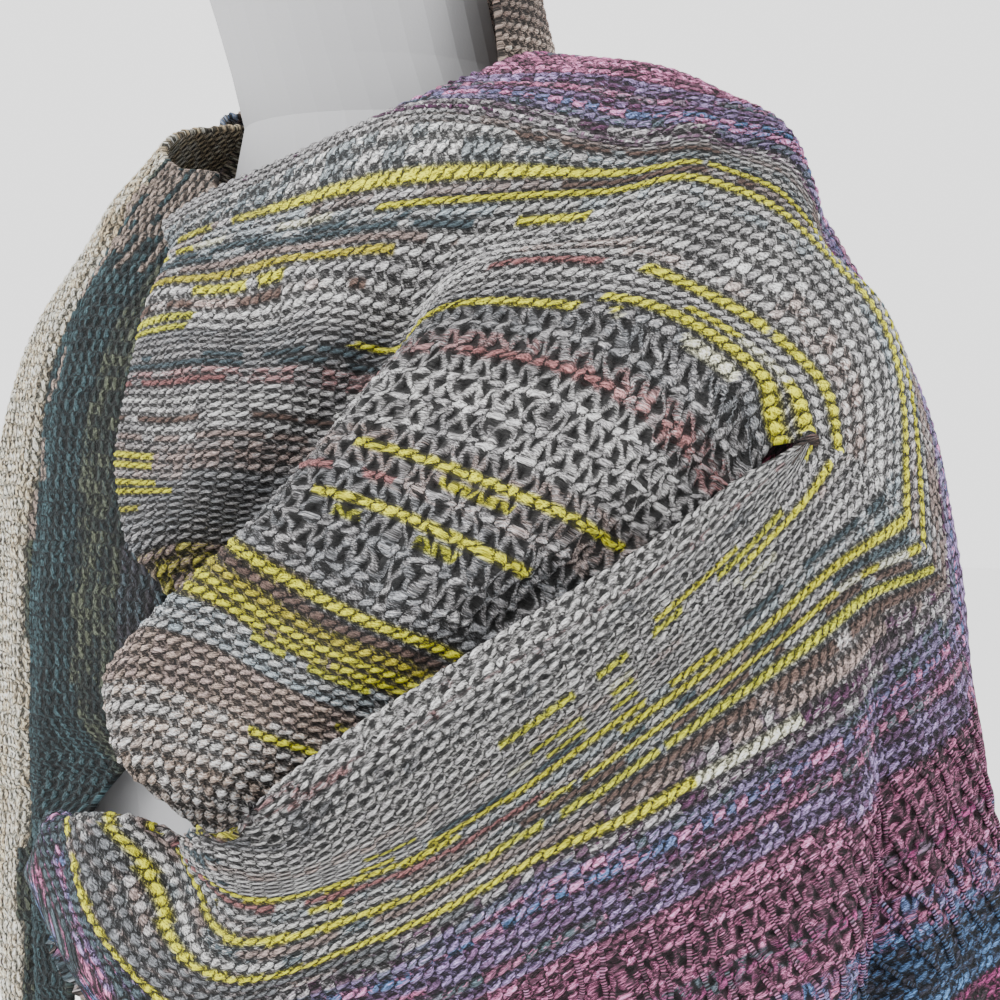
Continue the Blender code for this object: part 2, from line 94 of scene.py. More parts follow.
def area_light(name, place, size, power, look_at=(0.05, 0, 0.5)):
    light = bpy.data.lights.new(name, "AREA")
    light.size = size
    light.energy = power
    lamp = bpy.data.objects.new(name, light)
    lamp.location = place
    away = np.array(look_at) - place
    pitch = math.atan2(np.hypot(away[0], away[1]), -away[2])
    lamp.rotation_euler = (pitch, 0, math.atan2(away[1], away[0]) - math.pi / 2)
    bpy.context.scene.collection.objects.link(lamp)


area_light("key", (0.25, -1.9, 1.9), 1.1, 70)
area_light("side", (2.2, 0.5, 1.2), 1.4, 30)
area_light("left", (-1.7, -1.5, 1.0), 1.3, 22)
area_light("behind", (-0.6, 2.2, 1.7), 1.6, 55)

world = bpy.data.worlds.new("studio")
bpy.context.scene.world = world
world.use_nodes = True
world.node_tree.nodes["Background"].inputs["Color"].default_value = (1, 1, 1, 1)
world.node_tree.nodes["Background"].inputs["Strength"].default_value = WHITE_STRENGTH

bpy.ops.object.select_all(action="DESELECT")
bpy.ops.mesh.primitive_plane_add(size=FLOOR_SIZE, location=(0, 0, -FLOOR_DROP))
floor = bpy.context.object
floor.name = "floor"
floor.data.transform(floor.matrix_world)
floor.location = (0, 0, 0)
pale = bpy.data.materials.new("pale floor")
pale.use_nodes = True
pale_surface = pale.node_tree.nodes["Principled BSDF"].inputs
pale_surface["Base Color"].default_value = (FLOOR_WHITE, FLOOR_WHITE, FLOOR_WHITE, 1)
pale_surface["Roughness"].default_value = 0.9
floor.data.materials.append(pale)
print("floor and", len(bpy.data.lights), "lights")

# %% [markdown]
# ## The drape as a surface
#
# The shawl is wound round a vertical axis, so any place on it can be given by an angle round the body and a level
# down it. A table of profiles gives the radius and the height at each level. A smooth curve through the table's
# knots fills in what lies between, which is the way a draughtsman would fair a hull.
#
# The same tables shape the solids, so the sheets lie exactly where the solids are.

# %% Profiles of the wound cloth and of the far end
# angle: (radius, height) at neck, shoulder, arm, bust, waist, hem
DRAPE = {
    -30: ((76, 646), (102, 624), (132, 560), (150, 440), (158, 300), (160, 170)),
    0: ((74, 646), (100, 626), (136, 560), (158, 440), (166, 300), (168, 150)),
    25: ((76, 656), (112, 634), (158, 560), (180, 440), (186, 300), (188, 130)),
    50: ((80, 670), (134, 646), (186, 562), (204, 440), (212, 300), (214, 125)),
    75: ((87, 688), (164, 662), (216, 566), (234, 440), (244, 300), (248, 140)),
    95: ((94, 700), (184, 674), (232, 575), (250, 440), (264, 300), (268, 160)),
    120: ((96, 697), (172, 657), (233, 574), (256, 440), (276, 300), (280, 180)),
    145: ((97, 699), (146, 654), (206, 570), (236, 440), (254, 300), (258, 200)),
    180: ((98, 704), (130, 670), (160, 568), (178, 440), (192, 300), (196, 215)),
    220: ((97, 706), (148, 664), (188, 570), (200, 440), (212, 300), (216, 220)),
    255: ((94, 700), (166, 648), (206, 570), (216, 440), (224, 300), (226, 225)),
    280: ((90, 692), (164, 636), (198, 568), (206, 440), (212, 300), (212, 225)),
}

# angle: (radius, height) at neck, shoulder, chest, bust, waist, tip
FAR_END = {
    -98: ((84, 692), (150, 638), (176, 568), (186, 440), (184, 330), (178, 205)),
    -70: ((80, 684), (116, 640), (152, 568), (162, 440), (160, 330), (152, 205)),
    -45: ((76, 672), (102, 636), (135, 568), (141, 440), (140, 330), (134, 205)),
    -20: ((72, 660), (92, 632), (121, 568), (128, 440), (127, 330), (122, 205)),
    2: ((70, 655), (86, 628), (113, 568), (121, 440), (122, 330), (118, 205)),
    16: ((68, 650), (82, 624), (107, 568), (117, 440), (119, 330), (114, 205)),
}
# level: (inner edge, outer edge), in degrees
FAR_END_EDGES = {
    0: (4, -96), 1: (10, -96), 2.2: (13, -95), 2.95: (13, -92), 3.3: (-3, -89), 4: (-8, -70), 4.9: (-13, -34),
}

# The stretch that stands up behind the neck.
# angle: (radius, height) at foot, middle, top
NECK_STAND_SPAN = (95, 260)
NECK_STAND = {
    93: ((88, 688), (84, 719), (79, 744)),
    112: ((89, 690), (83, 724), (77, 755)),
    137: ((90, 690), (81, 728), (73, 762)),
    180: ((90, 690), (82, 730), (74, 768)),
    225: ((89, 690), (82, 726), (75, 758)),
    262: ((84, 686), (80, 708), (77, 728)),
}


# %% [markdown]
# ### Curves through tables
#
# A smooth curve runs through the places of each table, so a shape needs only a few of them.

# %% Curves through tables
def weights(knots, at):
    """The share of every knot's value at each place, on a smooth curve through the knots."""
    knots = np.asarray(knots, float)
    at = np.clip(np.asarray(at, float).ravel(), knots[0], knots[-1])
    left = np.clip(np.searchsorted(knots, at, side="right") - 1, 0, len(knots) - 2)
    span = knots[left + 1] - knots[left]
    t = (at - knots[left]) / span
    shares = np.zeros((len(at), len(knots)))
    row = np.arange(len(at))
    shares[row, left] += 2 * t**3 - 3 * t**2 + 1
    shares[row, left + 1] += 3 * t**2 - 2 * t**3
    for knot, rise in ((left, t**3 - 2 * t**2 + t), (left + 1, t**3 - t**2)):
        before = np.maximum(knot - 1, 0)
        after = np.minimum(knot + 1, len(knots) - 1)
        slope = rise * span / (knots[after] - knots[before])
        np.add.at(shares, (row, after), slope)
        np.add.at(shares, (row, before), -slope)
    return shares


def values(table):
    return np.array(list(table.values()), float)


def on_profiles(table, angle, level):
    """Points at these angles and levels on the surface through a table of profiles."""
    angle, level = np.broadcast_arrays(np.asarray(angle, float), np.asarray(level, float))
    profiles = values(table)
    across = weights(list(table), angle)
    down = weights(range(profiles.shape[1]), level)
    radius, height = np.einsum("nk,nl,klc->cn", across, down, profiles)
    turn = np.radians(angle.ravel())
    points = np.stack([radius * np.sin(turn), -radius * np.cos(turn), height], axis=1)
    return points.reshape(*angle.shape, 3)


def unit(vectors):
    """The same directions, each with a length of 1."""
    return vectors / (np.linalg.norm(vectors, axis=-1, keepdims=True) + 1e-12)


def outward(table, angle, level):
    """Unit normals of that surface, away from the body."""
    lowest = values(table).shape[1] - 1
    step_round = on_profiles(table, angle + 0.5, level) - on_profiles(table, angle - 0.5, level)
    below = on_profiles(table, angle, np.minimum(level + 0.02, lowest))
    above = on_profiles(table, angle, np.maximum(level - 0.02, 0))
    return unit(np.cross(below - above, step_round))


def ramp(value, low, high):
    """0 below low and 1 above high, with a smooth rise between them."""
    t = np.clip((value - low) / (high - low), 0, 1)
    return t * t * (3 - 2 * t)


print("a point on the near shoulder:", on_profiles(DRAPE, 95, 1).round())

# %% [markdown]
# ## Rows of the knitting
#
# The shawl is knitted in garter stitch, and its rows turn a corner over the near arm, as in a mitred square. One
# wing of rows crosses the chest and makes the cowl. The other wing hangs down the front and makes the roll, the
# loop and the wide panel. So each wing has its own table: one line for each ridge that could be followed from
# end to end, with the places that it passes.
#
# Ridges are counted outwards from the first one knitted, under the cowl.

# %% Tables of the rows
# ridge: (angle, level) at left edge, cowl, valley, chest, shoulder top, arm, mitre
COWL_STATIONS = (0, 0.17, 0.34, 0.51, 0.68, 0.85, 1)
COWL = {
    0: ((28, 3.30), (30, 3.30), (33, 3.29), (36, 3.28), (39, 3.27), (42, 3.25), (44, 3.24)),
    10: ((23, 2.84), (30, 2.83), (36, 2.87), (40, 2.90), (44, 2.94), (48, 2.98), (51, 3.03)),
    17: ((23, 2.62), (30, 2.58), (37, 2.61), (42, 2.68), (47, 2.75), (52, 2.81), (57, 2.88)),
    21: ((24, 2.48), (31, 2.42), (38, 2.45), (44, 2.56), (50, 2.65), (56, 2.72), (62, 2.79)),
    28: ((21, 2.28), (33, 2.28), (44, 2.28), (53, 2.33), (60, 2.42), (66, 2.51), (72, 2.61)),
    32: ((19, 2.16), (33, 2.18), (46, 2.14), (56, 2.19), (64, 2.29), (71, 2.39), (78, 2.50)),
    40: ((18, 1.87), (34, 1.90), (50, 1.88), (62, 1.84), (72, 1.92), (80, 2.10), (87, 2.32)),
    43: ((18, 1.76), (36, 1.79), (54, 1.76), (67, 1.71), (79, 1.80), (88, 2.02), (90, 2.21)),
    44: ((18, 1.73), (36, 1.76), (54, 1.73), (68, 1.68), (81, 1.78), (91, 2.03), (93, 2.22)),
    46: ((17, 1.66), (37, 1.68), (56, 1.65), (72, 1.60), (84, 1.76), (95, 2.04), (96, 2.25)),
    48: ((16, 1.46), (38, 1.49), (58, 1.48), (76, 1.53), (90, 1.65), (101, 1.95), (100, 2.30)),
    50: ((16, 1.33), (39, 1.35), (60, 1.36), (80, 1.41), (96, 1.58), (107, 1.88), (104, 2.39)),
    54: ((15, 1.19), (40, 1.16), (62, 1.20), (83, 1.34), (100, 1.49), (113, 1.80), (108, 2.50)),
    60: ((4, 0.81), (30, 0.64), (55, 0.46), (81, 1.19), (101, 1.40), (116, 1.80), (113, 2.63)),
}
NECK_EDGE_ENDS = 0.34  # the cowl's top edge is free up to this share of the row

# ridge: (angle, level) at mitre, arm, side, front, breast, turn, loop, far end
WRAP_STATIONS = (0, 0.14, 0.28, 0.42, 0.56, 0.70, 0.85, 1)
WRAP = {
    37: ((92.6, 2.215), (84, 2.30), (76, 2.44), (68, 2.59), (60, 2.74), (52, 2.90), (46, 3.05), (42, 3.18)),
    44: ((93, 2.22), (86, 2.41), (78, 2.60), (70, 2.78), (61, 2.97), (53, 3.12), (45, 3.22), (37, 3.17)),
    50: ((104, 2.39), (93, 2.52), (84, 2.68), (74, 2.87), (63, 3.09), (53, 3.25), (42, 3.33), (31, 3.22)),
    54: ((108, 2.50), (96, 2.58), (87, 2.71), (77, 2.89), (66, 3.10), (55, 3.31), (40, 3.43), (27, 3.18)),
    57: ((110, 2.56), (98, 2.62), (88, 2.75), (78, 2.92), (67, 3.14), (54, 3.38), (38, 3.52), (22, 3.19)),
    60: ((113, 2.63), (101, 2.75), (90, 2.88), (79, 3.03), (68, 3.20), (54, 3.45), (34, 3.60), (16, 3.22)),
    66: ((117, 2.85), (104, 2.97), (93, 3.10), (82, 3.24), (69, 3.42), (52, 3.62), (28, 3.63), (9, 3.22)),
    76: ((124, 3.20), (111, 3.32), (99, 3.44), (86, 3.56), (71, 3.70), (50, 3.80), (23, 3.62), (4, 3.28)),
    88: ((134, 3.65), (119, 3.75), (104, 3.85), (89, 3.93), (71, 3.98), (47, 3.94), (19, 3.60), (2, 3.34)),
    102: ((146, 4.30), (128, 4.40), (110, 4.45), (91, 4.42), (70, 4.28), (44, 4.06), (16, 3.58), (1, 3.40)),
}

# Where the two wings turn into each other: the wrap's first places, with two more of the cowl's last ones.
# ridge: (angle, level)
MORE_MITRE_RIDGES = (46, 48)
MITRE = {ridge: places[0] for ridge, places in WRAP.items()} | {ridge: COWL[ridge][-1] for ridge in MORE_MITRE_RIDGES}
MITRE = dict(sorted(MITRE.items()))
FIRST_WRAP_RIDGE, LAST_COWL_RIDGE, LAST_WRAP_RIDGE = 37, 60, 102
FIRST_FLUSH_RIDGE = 44  # below this ridge the cowl runs under the roll

# Ridges as they are counted in the cloth, with the stretched stretches given their true number of rows.
# table ridge: counted row
COUNTED = {
    0: 0, 10: 10, 17: 17, 21: 21, 28: 28, 32: 32, 40: 41, 44: 46, 46: 48,
    48: 51, 50: 54, 54: 57, 57: 59, 60: 62, 66: 69, 76: 80, 88: 93, 102: 109,
}
RIDGE_PITCH = 4.5
STITCH_WIDTH = 4.9


def rows_grid(table, stations, ridges, shares):
    """Angle and level for each ridge and each share of the way along it."""
    down, along = weights(list(table), ridges), weights(stations, shares)
    return np.einsum("vk,us,ksc->vuc", down, along, values(table))


BLEND_POWER = 8  # the higher, the nearer to the mitre a row bends towards its exact end


def mitre_places(ridges):
    return weights(list(MITRE), ridges) @ values(MITRE)


def cowl_places(ridges, shares):
    """The cowl's rows, with those that reach the mitre ending exactly on it."""
    places = rows_grid(COWL, COWL_STATIONS, ridges, shares)
    miss = mitre_places(ridges) - places[:, -1]
    miss[ridges < FIRST_FLUSH_RIDGE] = 0
    return places + miss[:, None] * shares[None, :, None] ** BLEND_POWER


def wrap_places(ridges, shares):
    places = rows_grid(WRAP, WRAP_STATIONS, ridges, shares)
    miss = mitre_places(ridges) - places[:, 0]
    return places + miss[:, None] * (1 - shares[None, :, None]) ** BLEND_POWER


print(len(COWL), "rows of the cowl and", len(WRAP), "rows of the wrap")

# %% [markdown]
# ## Folds
#
# The big folds are listed, each as a path of places, a height at its start, middle and end, and a half
# width. A fold adds a soft bell of that height to whatever lies near its path. Crossing folds simply add up, so the
# cloth gets the uneven swell of a heavy knit, without a simulation that could drift from the solids.

# %% Tables of folds
COWL_FOLDS = {
    "valley": (((84, 1.38), (62, 1.50), (53, 1.82), (40, 2.25), (31, 2.48), (22, 2.62)), (-3, -22, -24), 11),
    "mound edge": (((66, 1.62), (56, 1.92), (47, 2.30), (39, 2.50), (32, 2.62), (26, 2.80)), (3, 12, 8), 15),
    "mound": (((74, 1.95), (60, 2.35), (44, 2.80)), (4, 7, 4), 34),
    "shoulder ridge": (((88, 1.28), (84, 1.45), (78, 1.75)), (7, 6, 2), 13),
    "shoulder bump": (((93, 1.16), (99, 1.24), (104, 1.38)), (4, 10, 5), 16),
    "bump groove": (((97, 1.44), (107, 1.54), (116, 1.60)), (-1, -5, -4), 12),
    "cowl ripple": (((30, 1.25), (44, 1.55), (50, 1.85)), (1, 4, 2), 12),
    "cowl swell": (((22, 1.55), (34, 1.90), (36, 2.25)), (2, 5, 3), 13),
    "crease at roll": (
        ((86, 2.2), (76, 2.38), (68, 2.53), (60, 2.68), (52, 2.84), (40, 3.16)), (-2, -8, -7), 9),
    "turned edge": (((12, 1.2), (14, 1.9), (15, 2.25), (19, 2.5), (20, 3.0), (26, 3.3)), (-4, -7, -7), 9),
}
WRAP_FOLDS = {
    "roll": (((88, 2.31), (79, 2.49), (70, 2.68), (61, 2.86), (52, 3.01), (40, 3.18)), (5, 19, 17), 13),
    "under roll": (((88, 2.50), (77, 2.77), (66, 3.01), (55, 3.20)), (-2, -5, -3), 9),
    "lobe": (((90, 2.85), (75, 3.10), (60, 3.35), (44, 3.45)), (5, 9, 8), 26),
    "pleat crest": (((94, 2.70), (92.5, 3.15), (90, 3.40), (87, 3.70), (86, 4.5)), (1, 9, 12), 15),
    "pleat trough": (((100, 2.70), (99.5, 3.15), (98, 3.45), (96.5, 3.80), (96, 4.5)), (-2, -18, -22), 13),
    "panel ridge": (((110, 2.8), (112, 3.3), (110, 4.4)), (1, 7, 8), 13),
    "panel trough": (((119, 3.0), (121, 3.5), (121, 4.4)), (-1, -7, -9), 10),
    "loop crease": (((30, 3.20), (32, 3.30), (38, 3.38)), (-12, -9, -2), 9),
    "loop crest": (((22, 3.24), (24, 3.38), (32, 3.48), (44, 3.47)), (6, 8, 5), 12),
    "lower crease": (((80, 3.35), (64, 3.60), (44, 3.72)), (-2, -6, -2), 14),
    "loop turn": (((6, 3.20), (0, 3.36), (10, 3.56), (30, 3.90)), (-8, -14, -4), 9),
}
BACK_FOLDS = {
    "nape": (((120, 0.4), (180, 0.5), (240, 0.4)), (3, 5, 3), 18),
    "left blade": (((150, 1.2), (158, 2.2), (156, 4.0)), (3, 8, 6), 22),
    "left gutter": (((168, 1.6), (172, 2.6), (170, 4.2)), (-2, -7, -8), 15),
    "middle": (((186, 1.3), (188, 2.4), (192, 4.4)), (2, 7, 9), 18),
    "right gutter": (((204, 1.5), (204, 2.8), (207, 4.3)), (-2, -6, -8), 14),
    "right blade": (((222, 1.1), (222, 2.3), (226, 4.4)), (2, 7, 10), 20),
    "side gutter": (((243, 1.4), (241, 2.6), (244, 4.4)), (-1, -6, -7), 13),
}
FAR_END_FOLDS = {
    "long groove": (((-30, 0.9), (-28, 2.0), (-27, 3.0), (-24, 4.6)), (-4, -8, -6), 6),
    "outer crest": (((-48, 0.8), (-46, 2.0), (-43, 3.0), (-36, 4.4)), (2, 5, 3), 14),
    "inner crest": (((-14, 1.0), (-14, 2.0), (-15, 3.0), (-16, 4.6)), (1, 4, 3), 9),
}
STEPS_ON_FOLD = 60


def fold_heights(table, folds, points):
    """How far soft folds lift the cloth at each point."""
    lift = np.zeros(points.shape[:-1])
    for path, heights, half_width in folds.values():
        t = np.linspace(0, len(path) - 1, STEPS_ON_FOLD)
        angle, level = (weights(range(len(path)), t) @ np.array(path, float)).T
        line = on_profiles(table, angle, level)
        along = weights((0, 0.5, 1), t / t[-1]) @ np.array(heights, float)
        away = np.linalg.norm(points[..., None, :] - line, axis=-1)
        lift += along[away.argmin(axis=-1)] * np.exp(-((away.min(axis=-1) / half_width) ** 2))
    return lift


def lifted(table, places, lift):
    """Points of the surface at these places, moved out along its normals."""
    angle, level = places[..., 0], places[..., 1]
    return on_profiles(table, angle, level) + outward(table, angle, level) * lift[..., None]


print(sum(map(len, (COWL_FOLDS, WRAP_FOLDS, BACK_FOLDS, FAR_END_FOLDS))), "folds placed by hand")

# %% [markdown]
# ## From a coarse net to a fine one
#
# Folds are slow to work out and change slowly, so each stretch is first made as a coarse net, a few millimetres
# apart. Smooth curves through the net then give the fine net that the stitches need, about a millimetre apart.
# Where a side edge of the cloth rolls under itself, extra columns are added to the coarse net on a small circle.

# %% Nets
EDGE_TURNS = np.radians(np.arange(18, 181, 18))


def evened(directions, reach=4):
    """Each row's direction averaged with those of its neighbours."""
    padded = np.pad(directions, ((reach, reach), (0, 0)), mode="edge")
    return np.mean([padded[i : i + len(directions)] for i in range(2 * reach + 1)], axis=0)


def turned_edge(net, columns, radius, side):
    """Adds columns at one end of the rows, where the cloth rolls in and lies back under itself."""
    if side < 0:
        net, columns = net[:, ::-1], -columns[::-1]
    along = unit(evened(net[:, -1] - net[:, -3]))
    down = evened(np.gradient(net[:, -1], axis=0))
    normal = unit(np.cross(down, along) * side)
    normal *= np.sign(np.sum(normal * net[:, -1] * (1, 1, 0), axis=1, keepdims=True))
    radius = np.broadcast_to(radius, len(net))[:, None]
    centre = net[:, -1] - normal * radius
    added = [centre + radius * (normal * math.cos(t) + along * math.sin(t)) for t in EDGE_TURNS]
    added.append(centre - radius * (normal + along))
    row_length = np.linalg.norm(np.diff(net, axis=1), axis=2).sum(axis=1).mean()
    steps = np.append(EDGE_TURNS, math.pi + 1) * radius.max() / row_length * (columns[-1] - columns[0])
    net = np.concatenate([net, np.stack(added, axis=1)], axis=1)
    columns = np.append(columns, columns[-1] + steps)
    return (net, columns) if side > 0 else (net[:, ::-1], -columns[::-1])


def refined(net, rows, columns, fine_rows, fine_columns):
    """The same surface on a finer net."""
    net = np.tensordot(weights(rows, fine_rows), net, 1)
    return np.einsum("uk,vkc->vuc", weights(columns, fine_columns), net)


def arc_along_rows(net):
    """Millimetres along each row, from its first column."""
    steps = np.linalg.norm(np.diff(net, axis=1), axis=2)
    return np.concatenate([np.zeros((len(net), 1)), np.cumsum(steps, axis=1)], axis=1)


def normals_of(net, hint, reach=3):
    """Unit normals of a net, averaged over near points, on the side that hint points to at its middle."""
    normal = unit(np.cross(np.gradient(net, axis=0), np.gradient(net, axis=1)))
    padded = np.pad(normal, ((reach, reach), (0, 0), (0, 0)), mode="edge")
    normal = unit(np.mean([padded[i : i + len(net)] for i in range(2 * reach + 1)], axis=0))
    middle = normal[len(net) // 2, net.shape[1] // 2]
    return normal * np.sign(middle @ hint)


print(len(EDGE_TURNS) + 1, "extra columns at a rolled edge")

# %% [markdown]
# ## Shader maths as expressions
#
# The height of a stitch is needed twice, once for the mesh and once in the material. So that one formula serves
# both, a small class lets shader nodes take part in ordinary arithmetic, and a few helpers work on either kind.

# %% One class for node maths
class Socket:
    """A node socket that takes part in Python arithmetic."""

    def __init__(self, tree, socket):
        self.tree, self.socket = tree, socket

    def node(self, kind, settings=None, **inputs):
        """Adds a node. An input called _0 is given by number, and any other by its name."""
        made = self.tree.nodes.new(kind)
        for key, value in (settings or {}).items():
            setattr(made, key, value)
        for key, value in inputs.items():
            target = made.inputs[int(key[1:]) if key[0] == "_" else key]
            if isinstance(value, Socket):
                self.tree.links.new(value.socket, target)
            else:
                target.default_value = value
        return made

    def wrap(self, made, output=0):
        return Socket(self.tree, made.outputs[output])

    def math(self, operation, *others):
        inputs = {f"_{i}": v for i, v in enumerate((self, *others))}
        return self.wrap(self.node("ShaderNodeMath", {"operation": operation}, **inputs))

    def __add__(self, other):
        return self.math("ADD", other)

    def __mul__(self, other):
        return self.math("MULTIPLY", other)

    def __sub__(self, other):
        return self.math("SUBTRACT", other)

    def __rsub__(self, other):
        return self * -1.0 + other

    def __truediv__(self, other):
        return self.math("DIVIDE", other)

    def __pow__(self, other):
        return self.math("POWER", other)

    def __mod__(self, other):
        return self.math("FLOORED_MODULO", other)

    __radd__, __rmul__ = __add__, __mul__


def apply(operation, function, *terms):
    """The node operation where the first term is a socket, and the array function where it isn't."""
    return terms[0].math(operation, *terms[1:]) if isinstance(terms[0], Socket) else function(*terms)


def at_least(value, low):
    return apply("MAXIMUM", np.maximum, value, low)


def at_most(value, high):
    return apply("MINIMUM", np.minimum, value, high)


def root(value):
    return apply("SQRT", np.sqrt, value)


def size_of(value):
    return apply("ABSOLUTE", np.abs, value)


def share_of(value, low, high):
    """0 below low, 1 above high, straight between."""
    return at_most(at_least((value - low) / (high - low), 0.0), 1.0)


print("half way up a ramp:", share_of(np.array([0.5]), 0.0, 1.0))

# %% [markdown]
# ## Stitches as relief
#
# A ridge of garter stitch is a rope of slanted beads, one for each stitch. Between two ropes lies a sunk row of small
# arcs, half a stitch further on. `stitch` counts along the row and `row` counts across it. In the lace, every other
# rope opens into pairs of slanted legs with holes between them.

# %% Relief of the lattice
BEAD = {"half_width": 0.62, "half_height": 0.26, "slant": 0.36, "height": 1.0}
SUNK_ARC = {"half_width": 0.36, "half_height": 0.20, "slant": -0.8, "height": 0.50}
LACE_CELL = 1.5  # stitches from one hole to the next
LEG_HALF_WIDTH, LEG_HEIGHT, LEG_SLANT = 0.23, 0.6, 0.25
HOLE_DEPTH, HOLE_HALF_LENGTH, HOLE_SOFTNESS = 0.7, 0.82, 0.25


def mound(across, up, shape):
    slanted = up - across * shape["slant"]
    inside = 1.0 - (across / shape["half_width"]) ** 2.0 - (slanted / shape["half_height"]) ** 2.0
    return root(at_least(inside, 0.0)) * shape["height"]


def knit_height(stitch, row, lace):
    """Height of the yarn: 1 on a bead, 0 in a gap, and less in a hole of the lace."""
    bead = mound(stitch % 1.0 - 0.5, (row + 0.5) % 1.0 - 0.5, BEAD)
    arc = mound((stitch + 0.5) % 1.0 - 0.5, row % 1.0 - 0.5, SUNK_ARC)
    plain = at_least(bead, arc)
    up = row % 2.0 - 1.0
    across = size_of((stitch / LACE_CELL) % 1.0 - 0.5)
    off_leg = size_of(across - (1.0 - up) * LEG_SLANT) / LEG_HALF_WIDTH
    leg = root(at_least(1.0 - off_leg ** 2.0, 0.0)) * (HOLE_DEPTH + LEG_HEIGHT) - HOLE_DEPTH
    opened = share_of(HOLE_HALF_LENGTH - size_of(up), 0.0, HOLE_SOFTNESS) * lace
    return plain * (1.0 - opened) + leg * opened


print("a bead's top:", knit_height(np.array([0.5]), np.array([3.0]), np.array([0.0])))

# %% [markdown]
# ## Yarn colours
#
# The yarn changes colour as it goes, so the colours follow the rows. Two tables hold them: bands give the two
# yarns that are marled together from one counted row to the next, and stripes are laid over them for part of a
# row. A bead takes one of its two yarns at random, which gives the speckle of the real cloth.

# %% Palette
PALETTE = {
    "light grey": "acaaa9", "grey": "8a8889", "dark grey": "5b5d60", "blue grey": "6d777d",
    "slate": "3b474d", "taupe": "80706b", "brown": "4f3f39", "tan": "98867a", "rosewood": "7a5050",
    "yellow": "c6c11c", "lime": "a9aa22", "olive": "8a8626", "mustard": "948a20", "cream": "dbd9b8",
    "beige": "d8d2be", "sand": "a8977c", "teal": "1f2a2d", "petrol": "293a3e",
    "lavender": "7c6b94", "purple": "5a3c66", "magenta": "8f3a6c", "pink": "b0658a", "plum": "462840",
    "blue": "42638c", "near black": "231d22", "maroon": "5c2435", "bark": "7e7067", "moss": "3f4336",
}


def linear(name):
    code = PALETTE[name]
    parts = np.array([int(code[i : i + 2], 16) for i in (0, 2, 4)]) / 255
    return np.where(parts <= 0.04045, parts / 12.92, ((parts + 0.055) / 1.055) ** 2.4)


# %% Bands and stripes of the two front wings
# first counted row: (yarn, second yarn, share of the second)
FRONT_BANDS = {
    0: ("light grey", "tan", 0.35), 4: ("tan", "light grey", 0.3), 8: ("light grey", "tan", 0.4),
    11: ("tan", "taupe", 0.4), 14: ("light grey", "blue grey", 0.5), 17: ("taupe", "olive", 0.3),
    22: ("grey", "dark grey", 0.3), 30: ("grey", "taupe", 0.3), 33: ("grey", "light grey", 0.3),
    39: ("grey", "rosewood", 0.15), 41: ("grey", "dark grey", 0.3), 46: ("light grey", "grey", 0.35),
    49: ("light grey", "taupe", 0.3), 50: ("grey", "light grey", 0.4), 53: ("light grey", "blue grey", 0.3),
    56: ("taupe", "grey", 0.4), 57: ("light grey", "slate", 0.3), 59: ("taupe", "grey", 0.4),
    61: ("plum", "grey", 0.4), 63: ("lavender", "slate", 0.45), 64: ("blue", "pink", 0.5),
    65: ("lavender", "plum", 0.5), 67: ("pink", "slate", 0.5), 68: ("plum", "lavender", 0.5),
    70: ("near black", "pink", 0.35), 72: ("pink", "near black", 0.45), 74: ("near black", "pink", 0.45),
    75: ("magenta", "slate", 0.45), 77: ("near black", "pink", 0.4), 79: ("pink", "blue", 0.4),
    82: ("blue", "near black", 0.5), 85: ("near black", "blue", 0.4), 87: ("magenta", "near black", 0.45),
    90: ("near black", "maroon", 0.4), 94: ("slate", "blue", 0.5), 97: ("magenta", "near black", 0.5),
    100: ("dark grey", "taupe", 0.4), 106: ("taupe", "slate", 0.4),
}
